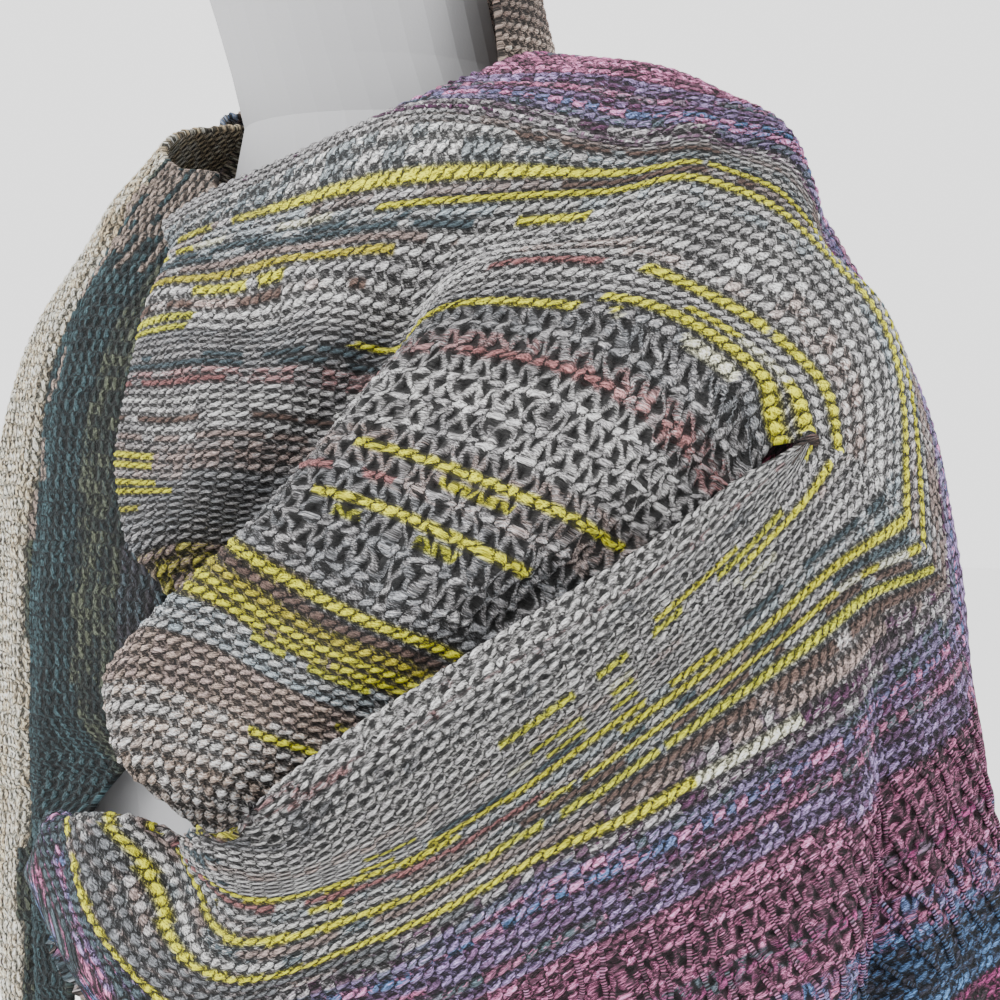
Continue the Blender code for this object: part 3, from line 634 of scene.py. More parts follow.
# (counted row, last counted row, from share, to share, yarn, share of beads)
COWL_STRIPES = (
    (10, 10, 0.58, 0.86, "yellow", 1.0), (13, 13, 0.86, 1.0, "olive", 0.8),
    (17, 17, 0.32, 1.0, "lime", 0.55), (18, 19, 0.28, 1.0, "yellow", 0.85),
    (20, 20, 0.26, 1.0, "mustard", 0.95), (21, 21, 0.30, 1.0, "brown", 0.9),
    (22, 22, 0.28, 1.0, "yellow", 1.0),
    (26, 26, 0.02, 0.08, "olive", 0.8), (28, 29, 0.0, 0.12, "yellow", 0.9),
    (31, 32, 0.0, 0.10, "yellow", 0.8), (30, 30, 0.34, 0.50, "rosewood", 0.6),
    (28, 28, 0.44, 0.84, "yellow", 1.0), (27, 27, 0.48, 0.76, "lime", 0.45),
    (32, 32, 0.46, 0.90, "yellow", 1.0), (31, 31, 0.50, 0.72, "yellow", 0.45),
    (40, 40, 0.0, 0.22, "rosewood", 0.7), (40, 40, 0.54, 0.78, "rosewood", 0.75),
    (36, 36, 0.0, 0.30, "brown", 0.7), (34, 34, 0.0, 0.30, "taupe", 0.7),
    (38, 38, 0.0, 0.35, "light grey", 0.8), (42, 43, 0.0, 0.35, "slate", 0.7),
    (44, 44, 0.32, 0.62, "yellow", 1.0), (45, 45, 0.60, 0.70, "yellow", 1.0),
    (45, 46, 0.66, 1.0, "yellow", 0.95), (44, 44, 0.70, 0.86, "cream", 0.5),
    (46, 46, 0.74, 0.84, "cream", 0.5), (47, 48, 0.0, 0.11, "lime", 0.9),
    (48, 48, 0.58, 1.0, "yellow", 0.95), (49, 49, 0.60, 0.80, "lime", 0.35),
    (48, 48, 0.42, 0.58, "rosewood", 0.85), (49, 49, 0.0, 0.35, "brown", 0.6),
    (51, 51, 0.0, 0.30, "mustard", 1.0), (50, 50, 0.10, 0.26, "yellow", 0.5),
    (52, 52, 0.0, 0.35, "taupe", 0.7), (53, 53, 0.0, 0.38, "slate", 0.8),
    (53, 53, 0.42, 0.50, "yellow", 0.9), (54, 54, 0.0, 0.30, "slate", 0.5),
    (55, 55, 0.0, 0.14, "yellow", 0.7), (55, 55, 0.10, 0.26, "cream", 0.75),
    (55, 55, 0.32, 1.0, "yellow", 0.95), (56, 56, 0.42, 0.60, "brown", 0.8),
    (57, 57, 0.0, 0.20, "olive", 0.9), (57, 57, 0.18, 1.0, "yellow", 0.9),
    (54, 54, 0.60, 1.0, "light grey", 0.4), (59, 59, 0.42, 0.58, "brown", 0.8),
    (60, 62, 0.0, 0.40, "grey", 0.8), (59, 62, 0.66, 1.0, "taupe", 0.4),
)
WRAP_STRIPES = (
    (46, 59, 0.90, 1.0, "slate", 0.35), (60, 74, 0.86, 1.0, "slate", 0.6),
    (37, 45, 0.0, 0.78, "light grey", 0.85), (37, 43, 0.0, 0.05, "brown", 0.6),
    (40, 44, 0.80, 1.0, "light grey", 0.7), (38, 43, 0.95, 1.0, "yellow", 0.8),
    (46, 46, 0.0, 0.30, "yellow", 0.55), (47, 48, 0.08, 0.50, "lime", 0.42),
    (48, 48, 0.0, 0.16, "yellow", 0.8), (49, 51, 0.0, 0.60, "cream", 0.28),
    (50, 50, 0.30, 0.62, "lime", 0.38), (52, 52, 0.36, 0.80, "lime", 0.42),
    (53, 53, 0.0, 0.80, "slate", 0.45), (54, 54, 0.30, 0.70, "yellow", 0.6),
    (55, 55, 0.0, 0.46, "yellow", 0.9), (55, 55, 0.62, 0.96, "yellow", 0.95),
    (56, 56, 0.0, 0.50, "slate", 0.6), (56, 56, 0.50, 1.0, "rosewood", 0.7),
    (57, 57, 0.0, 0.55, "yellow", 0.9), (57, 57, 0.0, 0.20, "cream", 0.5),
    (57, 57, 0.72, 0.92, "yellow", 0.5), (58, 58, 0.0, 0.60, "brown", 0.7),
    (58, 58, 0.62, 1.0, "light grey", 0.7), (59, 59, 0.0, 0.60, "lime", 0.85),
    (59, 59, 0.60, 1.0, "yellow", 0.97), (60, 60, 0.60, 1.0, "taupe", 0.6),
    (60, 60, 0.0, 0.50, "brown", 0.8), (61, 61, 0.60, 1.0, "light grey", 0.7),
    (61, 61, 0.0, 0.60, "taupe", 0.6), (62, 62, 0.28, 0.46, "cream", 0.6),
    (62, 62, 0.44, 1.0, "yellow", 0.95), (63, 64, 0.66, 1.0, "dark grey", 0.6),
    (65, 65, 0.78, 1.0, "dark grey", 0.8), (66, 66, 0.80, 1.0, "yellow", 0.7),
    (67, 68, 0.80, 1.0, "slate", 0.8),
)


# %% [markdown]
# ### Painting
#
# Bands colour whole rows, and stripes colour a share of a row. Their borders stray a little, as dyed yarn does.

# %% Painting
ROPE_HALF_HEIGHT = 0.40
DRIFT_STITCHES = 14
FLECK_STITCHES = 2.2
SHADE_STITCHES = 5
BAND_WANDER = 1.6  # rows by which a band's border strays
RAGGED_END = 0.03  # share of the row by which a stripe's end strays
FADE_OUTSIDE, FADE_INSIDE = 0.05, 0.04


def random_numbers(cell, ridge, seed):
    """A steady random number from 0 to 1 for each cell of each ridge."""
    mixed_cell = np.asarray(cell, float) * 12.9898 + np.asarray(ridge, float) * 78.233 + seed * 4.1337
    return np.modf(np.abs(np.sin(mixed_cell) * 43758.5453))[0]


def drifting(along, ridge, seed):
    """Random numbers that change smoothly along each ridge, one for each unit of along."""
    cell = np.floor(along)
    t = ramp(along - cell, 0, 1)
    return random_numbers(cell, ridge, seed) * (1 - t) + random_numbers(cell + 1, ridge, seed) * t


def band_colours(rows, bands):
    """The two yarns and their mixture for each counted row."""
    starts = np.array(list(bands))
    band = np.clip(np.searchsorted(starts, rows, side="right") - 1, 0, len(starts) - 1)
    entries = list(bands.values())
    yarn = np.array([linear(entry[0]) for entry in entries])[band]
    second = np.array([linear(entry[1]) for entry in entries])[band]
    return yarn, second, np.array([entry[2] for entry in entries])[band][..., None]


def painted(stitch, row, share, bands, stripes, band_row=None):
    """The two colours marled together at each point: bands first, then stripes on the ropes."""
    ridge = np.round(row)
    slow = drifting(stitch / DRIFT_STITCHES, ridge, 1)
    band_row = np.round(ridge if band_row is None else band_row) + BAND_WANDER * (slow - 0.5)
    yarn, second, mixture = band_colours(band_row, bands)
    swing = np.clip(drifting(stitch / DRIFT_STITCHES, ridge, 2)[..., None] * 1.5 - 0.75 + mixture, 0, 1)
    first_colour = yarn * (1 - 0.3 * swing) + second * 0.3 * swing
    second_colour = second * (0.8 + 0.2 * swing) + yarn * 0.2 * (1 - swing)
    on_rope = np.abs(row - ridge) < ROPE_HALF_HEIGHT
    fleck = drifting(stitch / FLECK_STITCHES, ridge, 3)
    at = share + RAGGED_END * (random_numbers(0, ridge, 4) - 0.5)
    for first, last, start, end, name, beads in stripes:
        enters = 1.0 if start <= 0 else ramp(at, start - FADE_OUTSIDE, start + FADE_INSIDE)
        leaves = 0.0 if end >= 1 else ramp(at, end - FADE_INSIDE, end + FADE_OUTSIDE)
        here = on_rope & (ridge >= first) & (ridge <= last) & (fleck < beads * enters * (1 - leaves) - 1e-6)
        first_colour = np.where(here[..., None], linear(name), first_colour)
        second_colour = np.where(here[..., None], linear(name) * 0.75, second_colour)
    one_bead = random_numbers(np.floor(stitch), ridge, 6) - 0.5
    shade = 0.82 + 0.3 * drifting(stitch / SHADE_STITCHES, ridge, 5) + 0.12 * one_bead
    return first_colour * shade[..., None], second_colour * shade[..., None]


print(len(PALETTE), "yarn colours,", len(COWL_STRIPES) + len(WRAP_STRIPES), "stripes")

# %% [markdown]
# ## The mesh of a sheet
#
# A sheet is one closed wall of cloth. Its outside is the fine net with the stitches. Its inside is the smooth net,
# four times coarser, which is enough for what little of it shows. The coarse cells at the border take in the fine
# points of the border as extra corners, so the two sides share one rim and no gap is left.

# %% Building a sheet
INSIDE_STEP = 4
RIM_BULGE = 0.3  # how far the rim stands out, as a share of the cloth's thickness
REST_HEIGHT = 0.6  # the height of yarn that lies exactly on the net
CROWDED = (0.2, 0.9)  # where points lie this close, in millimetres, the relief fades out


def border_loop(rows, columns):
    top = [(0, c) for c in range(columns)]
    right = [(r, columns - 1) for r in range(1, rows)]
    bottom = [(rows - 1, c) for c in range(columns - 2, -1, -1)]
    left = [(r, 0) for r in range(rows - 2, 0, -1)]
    return np.array(top + right + bottom + left)


def coarse_cells(rows, columns, step, number):
    """Cells of the inside. Those at the border also pass through the fine points there."""
    row_stops = list(range(0, rows - 1, step)) + [rows - 1]
    column_stops = list(range(0, columns - 1, step)) + [columns - 1]
    cells = []
    for r0, r1 in zip(row_stops, row_stops[1:]):
        for c0, c1 in zip(column_stops, column_stops[1:]):
            top = range(c0, c1) if r0 == 0 else [c0]
            right = range(r0, r1) if c1 == columns - 1 else [r0]
            bottom = range(c1, c0, -1) if r1 == rows - 1 else [c1]
            left = range(r1, r0, -1) if c0 == 0 else [r1]
            cell = [number(r0, c) for c in top] + [number(r, c1) for r in right]
            cell += [number(r1, c) for c in bottom] + [number(r, c0) for r in left]
            cells.append(cell)
    return cells


def sheet_mesh(name, outside, inside):
    """A closed mesh between two nets, and for each of its points the row and column that it stands for."""
    rows, columns = outside.shape[:2]
    size = rows * columns
    grid = np.arange(size).reshape(rows, columns)
    quads = np.stack([grid[:-1, :-1], grid[1:, :-1], grid[1:, 1:], grid[:-1, 1:]], axis=-1).reshape(-1, 4)

    loop = border_loop(rows, columns)
    kept = np.zeros((rows, columns), bool)
    kept[:: INSIDE_STEP, :: INSIDE_STEP] = True
    kept[loop[:, 0], loop[:, 1]] = True
    inner_number = np.full((rows, columns), -1)
    inner_number[kept] = size + np.arange(kept.sum())
    cells = coarse_cells(rows, columns, INSIDE_STEP, lambda r, c: int(inner_number[r, c]))

    edge_out = outside[loop[:, 0], loop[:, 1]]
    edge_in = inside[loop[:, 0], loop[:, 1]]
    before = outside[np.clip(loop[:, 0], 2, rows - 3), np.clip(loop[:, 1], 2, columns - 3)]
    thickness = np.linalg.norm(edge_out - edge_in, axis=1, keepdims=True)
    rim = (edge_out + edge_in) / 2 + unit(edge_out - before) * thickness * RIM_BULGE
    rim_start = size + int(kept.sum())
    rim_number = rim_start + np.arange(len(loop))
    outer_edge, inner_edge = grid[loop[:, 0], loop[:, 1]], inner_number[loop[:, 0], loop[:, 1]]
    ring = []
    for edge in (outer_edge, inner_edge):
        ring.append(np.stack([edge, np.roll(edge, -1), np.roll(rim_number, -1), rim_number], axis=1))

    points = np.concatenate([outside.reshape(-1, 3), inside[kept], rim]) * MM
    faces = quads.tolist() + cells + np.concatenate(ring).tolist()
    mesh = bpy.data.meshes.new(name)
    mesh.from_pydata(points, [], faces)
    tool = bmesh.new()
    tool.from_mesh(mesh)
    bmesh.ops.recalc_face_normals(tool, faces=tool.faces)
    if tool.calc_volume(signed=True) < 0:
        bmesh.ops.reverse_faces(tool, faces=tool.faces)
    tool.to_mesh(mesh)
    tool.free()
    where = np.concatenate([np.argwhere(np.ones((rows, columns), bool)), np.argwhere(kept), loop])
    return mesh, where


def add_uv(mesh, stitch, row):
    """The lattice as the piece's UV map: one unit for each stitch and each ridge."""
    layer = mesh.uv_layers.new(name="lattice")
    corner = np.zeros(len(mesh.loops), np.int32)
    mesh.loops.foreach_get("vertex_index", corner)
    layer.data.foreach_set("uv", np.stack([stitch[corner], row[corner]], axis=1).astype(np.float32).ravel())


def add_colour(mesh, name, colour):
    attribute = mesh.color_attributes.new(name=name, type="FLOAT_COLOR", domain="POINT")
    rgba = np.concatenate([colour, np.ones((len(colour), 1))], axis=1)
    attribute.data.foreach_set("color", rgba.astype(np.float32).ravel())


def add_number(mesh, name, number):
    attribute = mesh.attributes.new(name=name, type="FLOAT", domain="POINT")
    attribute.data.foreach_set("value", np.asarray(number, np.float32))


def yarn_object(mesh, stitch, row, colours, lace):
    """A smooth object of the mesh, which carries the lattice, the two yarn colours and the share of lace."""
    add_uv(mesh, stitch, row)
    for name, colour in colours.items():
        add_colour(mesh, name, colour)
    add_number(mesh, "lace", lace)
    mesh.polygons.foreach_set("use_smooth", [True] * len(mesh.polygons))
    made = bpy.data.objects.new(mesh.name, mesh)
    bpy.context.scene.collection.objects.link(made)
    triangles = sum(len(p.vertices) - 2 for p in mesh.polygons)
    print(made.name, len(mesh.vertices), "points,", triangles, "triangles")
    return made


def knitted_sheet(name, net, normal, lattice, relief_height, wall):
    """Makes the object. The lattice holds stitch, row, colours and lace for every point of the net."""
    height = knit_height(lattice["stitch"], lattice["row"], lattice["lace"])
    spacing = np.linalg.norm(np.gradient(net, axis=0), axis=2)
    strength = relief_height * ramp(spacing, *CROWDED)
    outside = net + normal * ((height - REST_HEIGHT) * strength)[..., None]
    inside = net - normal * np.broadcast_to(wall, height.shape)[..., None]
    mesh, where = sheet_mesh(name, outside, inside)
    pick = (where[:, 0], where[:, 1])
    colours = {name: lattice[name][pick] for name in ("yarn", "ply")}
    return yarn_object(mesh, lattice["stitch"][pick], lattice["row"][pick], colours, lattice["lace"][pick])


# %% [markdown]
# ## Yarn as a material
#
# The material works out the same height as the mesh, at full sharpness. Low places get dark, because little light
# reaches the bottom of a knit. Fine streaks along each bead are its fibres, and they also mix its two plies. Wool is
# rough and shows a pale fuzz where it turns away from the eye, which is what the sheen is for.

# %% The yarn material
def new_material(name):
    made = bpy.data.materials.new(name)
    made.use_nodes = True
    surface = made.node_tree.nodes["Principled BSDF"]
    return made, made.node_tree, surface, Socket(made.node_tree, None)


def mixed(start, factor, a, b, blend="MIX"):
    """A colour between a and b."""
    settings = {"data_type": "RGBA", "blend_type": blend, "clamp_result": True}
    return start.wrap(start.node("ShaderNodeMix", settings, _0=factor, _6=a, _7=b), 2)


def noise(start, x, y, detail, roughness=0.6):
    """Noise from 0 to 1 over two coordinates."""
    place = start.wrap(start.node("ShaderNodeCombineXYZ", _0=x, _1=y))
    inputs = {"Vector": place, "Scale": 1.0, "Detail": detail, "Roughness": roughness}
    return start.wrap(start.node("ShaderNodeTexNoise", {"noise_dimensions": "2D"}, **inputs))


def cell_noise(start, x, y):
    """A random number for each bead."""
    place = start.wrap(start.node("ShaderNodeCombineXYZ", _0=x.math("FLOOR"), _1=y.math("FLOOR")))
    return start.wrap(start.node("ShaderNodeTexWhiteNoise", {"noise_dimensions": "2D"}, Vector=place))


def attribute(start, name, output):
    return start.wrap(start.node("ShaderNodeAttribute", {"attribute_name": name}), output)


STRAY, STRAY_IN_LACE = 0.7, 1.0  # how far the stitches stray from the lattice, in stitches
FINE_DETAIL = (3.0, 0.75)  # detail and roughness of the finest noises


def yarn_material(name, speckle=0.5, darkest=0.035, brightness=2.6, bump_mm=1.6, sheen=0.06):
    made, tree, surface, start = new_material(name)
    lattice = start.wrap(start.node("ShaderNodeUVMap", {"uv_map": "lattice"}))
    apart = start.node("ShaderNodeSeparateXYZ", _0=lattice)
    stitch, row = start.wrap(apart, 0), start.wrap(apart, 1)
    lace, yarn, ply = attribute(start, "lace", 2), attribute(start, "yarn", 0), attribute(start, "ply", 0)

    loose = lace * STRAY_IN_LACE + STRAY
    stitch = stitch + (noise(start, stitch * 0.55, row * 0.55, 1.0) - 0.5) * loose
    row = row + (noise(start, stitch * 0.6 + 40.0, row * 0.6, 1.0) - 0.5) * loose * 0.4
    height = knit_height(stitch, row, lace)

    slanted = (row + 0.5) % 1.0 - 0.5 - (stitch % 1.0 - 0.5) * BEAD["slant"]
    fibres = share_of(noise(start, stitch * 2.0, slanted * 9.0 + row * 3.0, *FINE_DETAIL), 0.34, 0.66)
    fuzz = share_of(noise(start, stitch * 7.0 + slanted * 6.0, row * 9.0, *FINE_DETAIL), 0.28, 0.72)
    relief = height + (fibres - 0.5) * 0.45 + (fuzz - 0.5) * 0.30
    bump = start.node("ShaderNodeBump", Height=relief, Strength=1.0, Distance=bump_mm * MM)
    tree.links.new(bump.outputs["Normal"], surface.inputs["Normal"])

    bead_chance = cell_noise(start, stitch, row + 0.5)
    open_to_light = share_of(height + (fuzz - 0.5) * 0.7 + (fibres - 0.5) * 0.3, -0.03, 0.95) ** 1.6
    shade = (open_to_light * (1.0 - darkest) + darkest) * (0.25 + fibres * 1.2) * (0.5 + fuzz * 1.0)
    shade = shade * (bead_chance * 0.5 + 0.75) * brightness
    grey = start.wrap(start.node("ShaderNodeCombineColor", _0=shade, _1=shade, _2=shade))
    strands = noise(start, stitch * 1.5 + 9.0, slanted * 7.0 + row * 5.0, 1.0)
    marl = mixed(start, share_of(strands + (bead_chance - 0.5) * speckle, 0.46, 0.54), yarn, ply)
    colour = mixed(start, 1.0, marl, grey, "MULTIPLY")
    tree.links.new(colour.socket, surface.inputs["Base Color"])
    surface.inputs["Roughness"].default_value = 0.92
    surface.inputs["Specular IOR Level"].default_value = 0.12
    surface.inputs["Sheen Weight"].default_value = sheen
    surface.inputs["Sheen Roughness"].default_value = 0.5
    surface.inputs["Sheen Tint"].default_value = (1, 1, 1, 1)
    return made


print("the yarn material has", len(yarn_material("sample of yarn").node_tree.nodes), "nodes")

# %% [markdown]
# ## The five stretches
#
# Each stretch is a net whose first direction crosses the rows of knitting and whose second runs along them. The
# stitch number is the distance along the row in stitch widths. Its start is shifted from row to row, so that a
# column of stitches stays square to the rows. The ridge number is the counted row, or, where rows crowd together
# and are cut off at an edge, the true distance across them.

# %% Numbering stitches and ridges
def counted(ridges):
    return np.interp(ridges, list(COUNTED), list(COUNTED.values()))


def table_ridge(rows):
    return np.interp(rows, list(COUNTED.values()), list(COUNTED))


def stitch_numbers(net):
    """The number of each stitch along its row, in columns that stay square to the rows."""
    arc = arc_along_rows(net)
    tangent = unit(np.gradient(net, axis=1))
    slip = np.sum(np.diff(net, axis=0) * tangent[:-1], axis=2) - np.diff(arc, axis=0)
    shift = np.concatenate([[0], np.cumsum(slip.mean(axis=1))])
    return (arc + shift[:, None]) / STITCH_WIDTH


def distance_across(net):
    """Millimetres across the rows, square to them, from the first row."""
    tangent = unit(np.gradient(net, axis=1))
    step = np.diff(net, axis=0)
    step = step - np.sum(step * tangent[:-1], axis=2, keepdims=True) * tangent[:-1]
    return np.concatenate([np.zeros((1, net.shape[1])), np.cumsum(np.linalg.norm(step, axis=2), axis=0)])


SWELL_LENGTH = 19
FIRST_STITCH = 400  # keeps every stitch number above 0
FRONT, REAR, NEAR_ARM = (0, -1, 0), (0, 1, 0), (1, -1, 0)  # ways that a stretch faces


def undulation(net):
    """A slow, uneven swell, as in any cloth made by hand."""
    x, y, z = np.moveaxis(net / SWELL_LENGTH, -1, 0)
    first, second = 0.5 * np.sin(1.3 * x + 0.7 * z + 1), 0.45 * np.sin(1.1 * y - 0.9 * z)
    return first + second + 0.35 * np.sin(1.9 * z + 1.4 * x - y)


def with_undulation(net, hint):
    return net + normals_of(net, hint) * undulation(net)[..., None]


def lattice_of(net, row, share, bands, stripes, band_row=None, lace=None):
    stitch = stitch_numbers(net) + FIRST_STITCH
    yarn, ply = painted(stitch, row, share, bands, stripes, band_row)
    lace = np.zeros(row.shape) if lace is None else lace
    return {"stitch": stitch, "row": row, "yarn": yarn, "ply": ply, "lace": lace}


print("counted rows run from", counted(0), "to", counted(LAST_WRAP_RIDGE))

# %% [markdown]
# ### Chest and cowl
#
# The cowl is grey and holds most of the lace. It is the part that the photograph shows closest.

# %% Cowl
COWL_EDGE_RADIUS, LOOP_EDGE_RADIUS = 5, 7
ROLL_CLEARANCE, ROLL_RISE, HEM_TUCK = 7, 3.5, 40
RELIEF, STAND_RELIEF = 1.5, 1.4
LAST_COWL_ROW = 62
LACE_ROWS = (23, 44)
SKIN = 3.4


def every_fold(points):
    return fold_heights(DRAPE, COWL_FOLDS | BACK_FOLDS, points)


def cowl_lift(places, ridges, shares):
    """The cowl's folds. It dips to pass under the roll, and its first rows tuck in towards the form."""
    points = on_profiles(DRAPE, places[..., 0], places[..., 1])
    flush = ramp(ridges, FIRST_FLUSH_RIDGE - 1, FIRST_FLUSH_RIDGE)[:, None]
    dip = ROLL_CLEARANCE * ramp(shares, 0.84, 0.96)[None, :] * (1 - flush)
    tuck = HEM_TUCK * (1 - ramp(ridges, 0, 7))[:, None]
    near_mitre = flush * ramp(shares, 0.5, 1)[None, :]
    return every_fold(points) - dip - tuck + near_mitre * fold_heights(DRAPE, WRAP_FOLDS, points)


def cowl_sheet():
    rows, shares = np.arange(0, LAST_COWL_ROW + 1.0), np.linspace(0, 1, 96)
    places = cowl_places(table_ridge(rows), shares)
    net = lifted(DRAPE, places, cowl_lift(places, table_ridge(rows), shares))
    net, columns = turned_edge(net, shares, COWL_EDGE_RADIUS, -1)
    fine_rows, fine_columns = np.linspace(0, LAST_COWL_ROW, 249), np.linspace(columns[0], 1, 350)
    net = with_undulation(refined(net, rows, columns, fine_rows, fine_columns), NEAR_ARM)
    row, share = np.meshgrid(fine_rows, fine_columns, indexing="ij")
    lace = ramp(row, LACE_ROWS[0], LACE_ROWS[0] + 1) * (1 - ramp(row, LACE_ROWS[1] - 1, LACE_ROWS[1]))
    lace = lace * ramp(share, 0.30, 0.42)
    lattice = lattice_of(net, row, share, FRONT_BANDS, COWL_STRIPES, lace=lace)
    return knitted_sheet("knitted_cowl", net, normals_of(net, NEAR_ARM), lattice, RELIEF, SKIN)


cowl = cowl_sheet()


# %% [markdown]
# ### Roll, loop and front panel
#
# These rows leave the mitre, cross the arm and turn under at the loop. Past the loop they crowd together, so there
# the ridges are counted by true distance.

# %% Wrap
def wrap_lift(places, ridges, shares):
    points = on_profiles(DRAPE, places[..., 0], places[..., 1])
    rise = ramp(shares, 0.0, 0.05)[None, :] * (1 - ramp(ridges, FIRST_WRAP_RIDGE, 48))[:, None]
    flush = 1 - ramp(shares, 0.0, 0.15)[None, :]
    return fold_heights(DRAPE, WRAP_FOLDS, points) + ROLL_RISE * rise + flush * every_fold(points)


SHORT_ROWS = 10  # extra ridges per unit of share, from half way along the row to the loop


def ridge_numbers(net, rows, shares, crowded_from, short_rows=0):
    """The counted row, with the short rows that are worked at one end, and by distance where rows crowd."""
    across = np.diff(distance_across(net), axis=0) / RIDGE_PITCH
    worked = rows[:, None] + short_rows * np.clip(shares - 0.5, 0, None) * ramp(rows, 50, 61)[:, None]
    steps = np.diff(worked, axis=0)
    crowded = (rows[1:] > crowded_from)[:, None]
    taken = np.where(crowded, np.minimum(across * 0.96, steps), steps)
    return worked[:1] + np.concatenate([np.zeros((1, net.shape[1])), np.cumsum(taken, axis=0)])


# %% [markdown]
# ### Long slipped stitches
#
# They stand over the coarse stretch low on the panel, as short tubes that lie along the net and take its colours.

# %% Long stitches over the coarse stretch
LONG_STITCHES = {"first": 70.5, "last": 82, "length": 3.4, "gap": 9.5, "radius": 0.95}
STRAND_ROWS = np.arange(LONG_STITCHES["first"], LONG_STITCHES["last"], LONG_STITCHES["length"])
STRANDS_END = 0.62  # share of the row where the last of them stands
STRAND_LIFT, STRAND_SINK, STRAND_LEAN, STRAND_BOW = 1.5, 0.2, 5, 1.6
STRAND_SIDES, STRAND_RINGS = 6, 9
STRAND_TURNS = np.arange(STRAND_SIDES) * 2 * math.pi / STRAND_SIDES
FROM_BORDER = 3


def near_places(numbers, wanted):
    """Where the wanted numbers lie in a rising list, kept off its ends."""
    return np.clip(np.searchsorted(numbers, wanted), FROM_BORDER, len(numbers) - FROM_BORDER - 1)


def tube_points(middle, facing):
    ahead = unit(np.gradient(middle, axis=0))
    across = unit(np.cross(ahead, facing))
    up = np.cross(across, ahead)
    ring = across[:, None] * np.cos(STRAND_TURNS)[:, None] + up[:, None] * np.sin(STRAND_TURNS)[:, None]
    return (middle[:, None] + ring * LONG_STITCHES["radius"]).reshape(-1, 3)


def tube_faces(first_point):
    grid = first_point + np.arange(STRAND_SIDES * STRAND_RINGS).reshape(STRAND_RINGS, STRAND_SIDES)
    around = np.roll(grid, -1, axis=1)
    sides = np.stack([grid[:-1], around[:-1], around[1:], grid[1:]], axis=-1)
    return sides.reshape(-1, 4).tolist() + [grid[0][::-1].tolist(), grid[-1].tolist()]


def long_stitches(net, normal, rows, lattice):
    """Short tubes across the rows, one above another, each leaning and bowed a little."""
    points, faces, places = [], [], []
    arc = arc_along_rows(net)[np.searchsorted(rows, LONG_STITCHES["first"])]
    t = np.linspace(-0.08, 1.08, STRAND_RINGS)
    arch = np.sin(np.clip(t, 0, 1) * math.pi)
    for stack, start in enumerate(np.arange(6.0, arc[-1] * STRANDS_END, LONG_STITCHES["gap"])):
        chance = random_numbers(np.arange(8), stack, 11)
        for link, first in enumerate(STRAND_ROWS):
            row = near_places(rows, first + t * LONG_STITCHES["length"] * (0.85 + 0.3 * chance[link]))
            bow = STRAND_BOW * np.sin(t * math.pi) * (1 if link % 2 else -1)
            lean = (chance[link + 4] - 0.5) * STRAND_LEAN + bow
            column = near_places(arc, start + 3 * (chance[0] - 0.5) + lean * t)
            middle = net[row, column] + normal[row, column] * (STRAND_LIFT * arch - STRAND_SINK)[:, None]
            middle[1:-1] = (middle[:-2] + middle[1:-1] * 2 + middle[2:]) / 4
            faces += tube_faces(len(points) * STRAND_SIDES * STRAND_RINGS)
            points.append(tube_points(middle, normal[row, column]))
            places.append((np.repeat(row, STRAND_SIDES), np.repeat(column, STRAND_SIDES)))
    mesh = bpy.data.meshes.new("wrap_long_stitches")
    mesh.from_pydata(np.concatenate(points) * MM, [], faces)
    rows_of, columns_of = (np.concatenate(part) for part in zip(*places))
    along = np.tile(np.repeat(np.linspace(0.42, 0.58, STRAND_RINGS), STRAND_SIDES), len(points))
    around = np.tile(0.18 * np.sin(STRAND_TURNS), STRAND_RINGS * len(points))
    colours = {name: lattice[name][rows_of, columns_of] * 1.15 for name in ("yarn", "ply")}
    return yarn_object(mesh, along + columns_of, around + rows_of, colours, np.zeros(len(rows_of)))


# %% [markdown]
# ### The sheet of the wrap
#
# The roll and the coarse stretch are worked more openly than the rest.

# %% The sheet of the wrap
LAST_WRAP_ROW = 109
COARSE_ROWS, COARSE_LACE = (71, 73, 80, 82), 0.7
ROLL_LACE_ENDS, ROLL_LACE = (44, 46), 0.4


def wrap_sheet():
    first = float(counted(FIRST_WRAP_RIDGE))
    rows = np.append(first, np.arange(math.ceil(first), LAST_WRAP_ROW + 1.0))
    near, middle, far = np.linspace(0, 0.1, 12), np.arange(0.1, 0.45, 0.012), np.linspace(0.45, 1, 52)
    shares = np.unique(np.concatenate([near, middle, far]))
    places = wrap_places(table_ridge(rows), shares)
    net = lifted(DRAPE, places, wrap_lift(places, table_ridge(rows), shares))
    radius = LOOP_EDGE_RADIUS * (0.15 + 0.85 * ramp(rows, 46, 54))
    net, columns = turned_edge(net, shares, radius, 1)
    fine_rows, fine_columns = np.linspace(first, LAST_WRAP_ROW, 289), np.linspace(0, columns[-1], 300)
    net = with_undulation(refined(net, rows, columns, fine_rows, fine_columns), NEAR_ARM)
    counted_row, share = np.meshgrid(fine_rows, fine_columns, indexing="ij")
    row = ridge_numbers(net, fine_rows, fine_columns, LAST_COWL_ROW, SHORT_ROWS)
    roll = (1 - ramp(row, *ROLL_LACE_ENDS)) * ROLL_LACE
    coarse = ramp(counted_row, *COARSE_ROWS[:2]) * (1 - ramp(counted_row, *COARSE_ROWS[2:]))
    lace = np.maximum(roll, coarse * COARSE_LACE)
    lattice = lattice_of(net, row, share, FRONT_BANDS, WRAP_STRIPES, counted_row, lace)
    tight = np.interp(fine_rows, rows, radius)[:, None] * 0.6
    at_edge = ramp(fine_columns, 0.96, 1.0)[None]
    wall = SKIN * (1 - at_edge) + np.minimum(SKIN, tight) * at_edge
    normal = normals_of(net, NEAR_ARM)
    sheet = knitted_sheet("knitted_wrap", net, normal, lattice, RELIEF, wall)
    return sheet, long_stitches(net, normal, fine_rows, lattice)


wrap, strands = wrap_sheet()

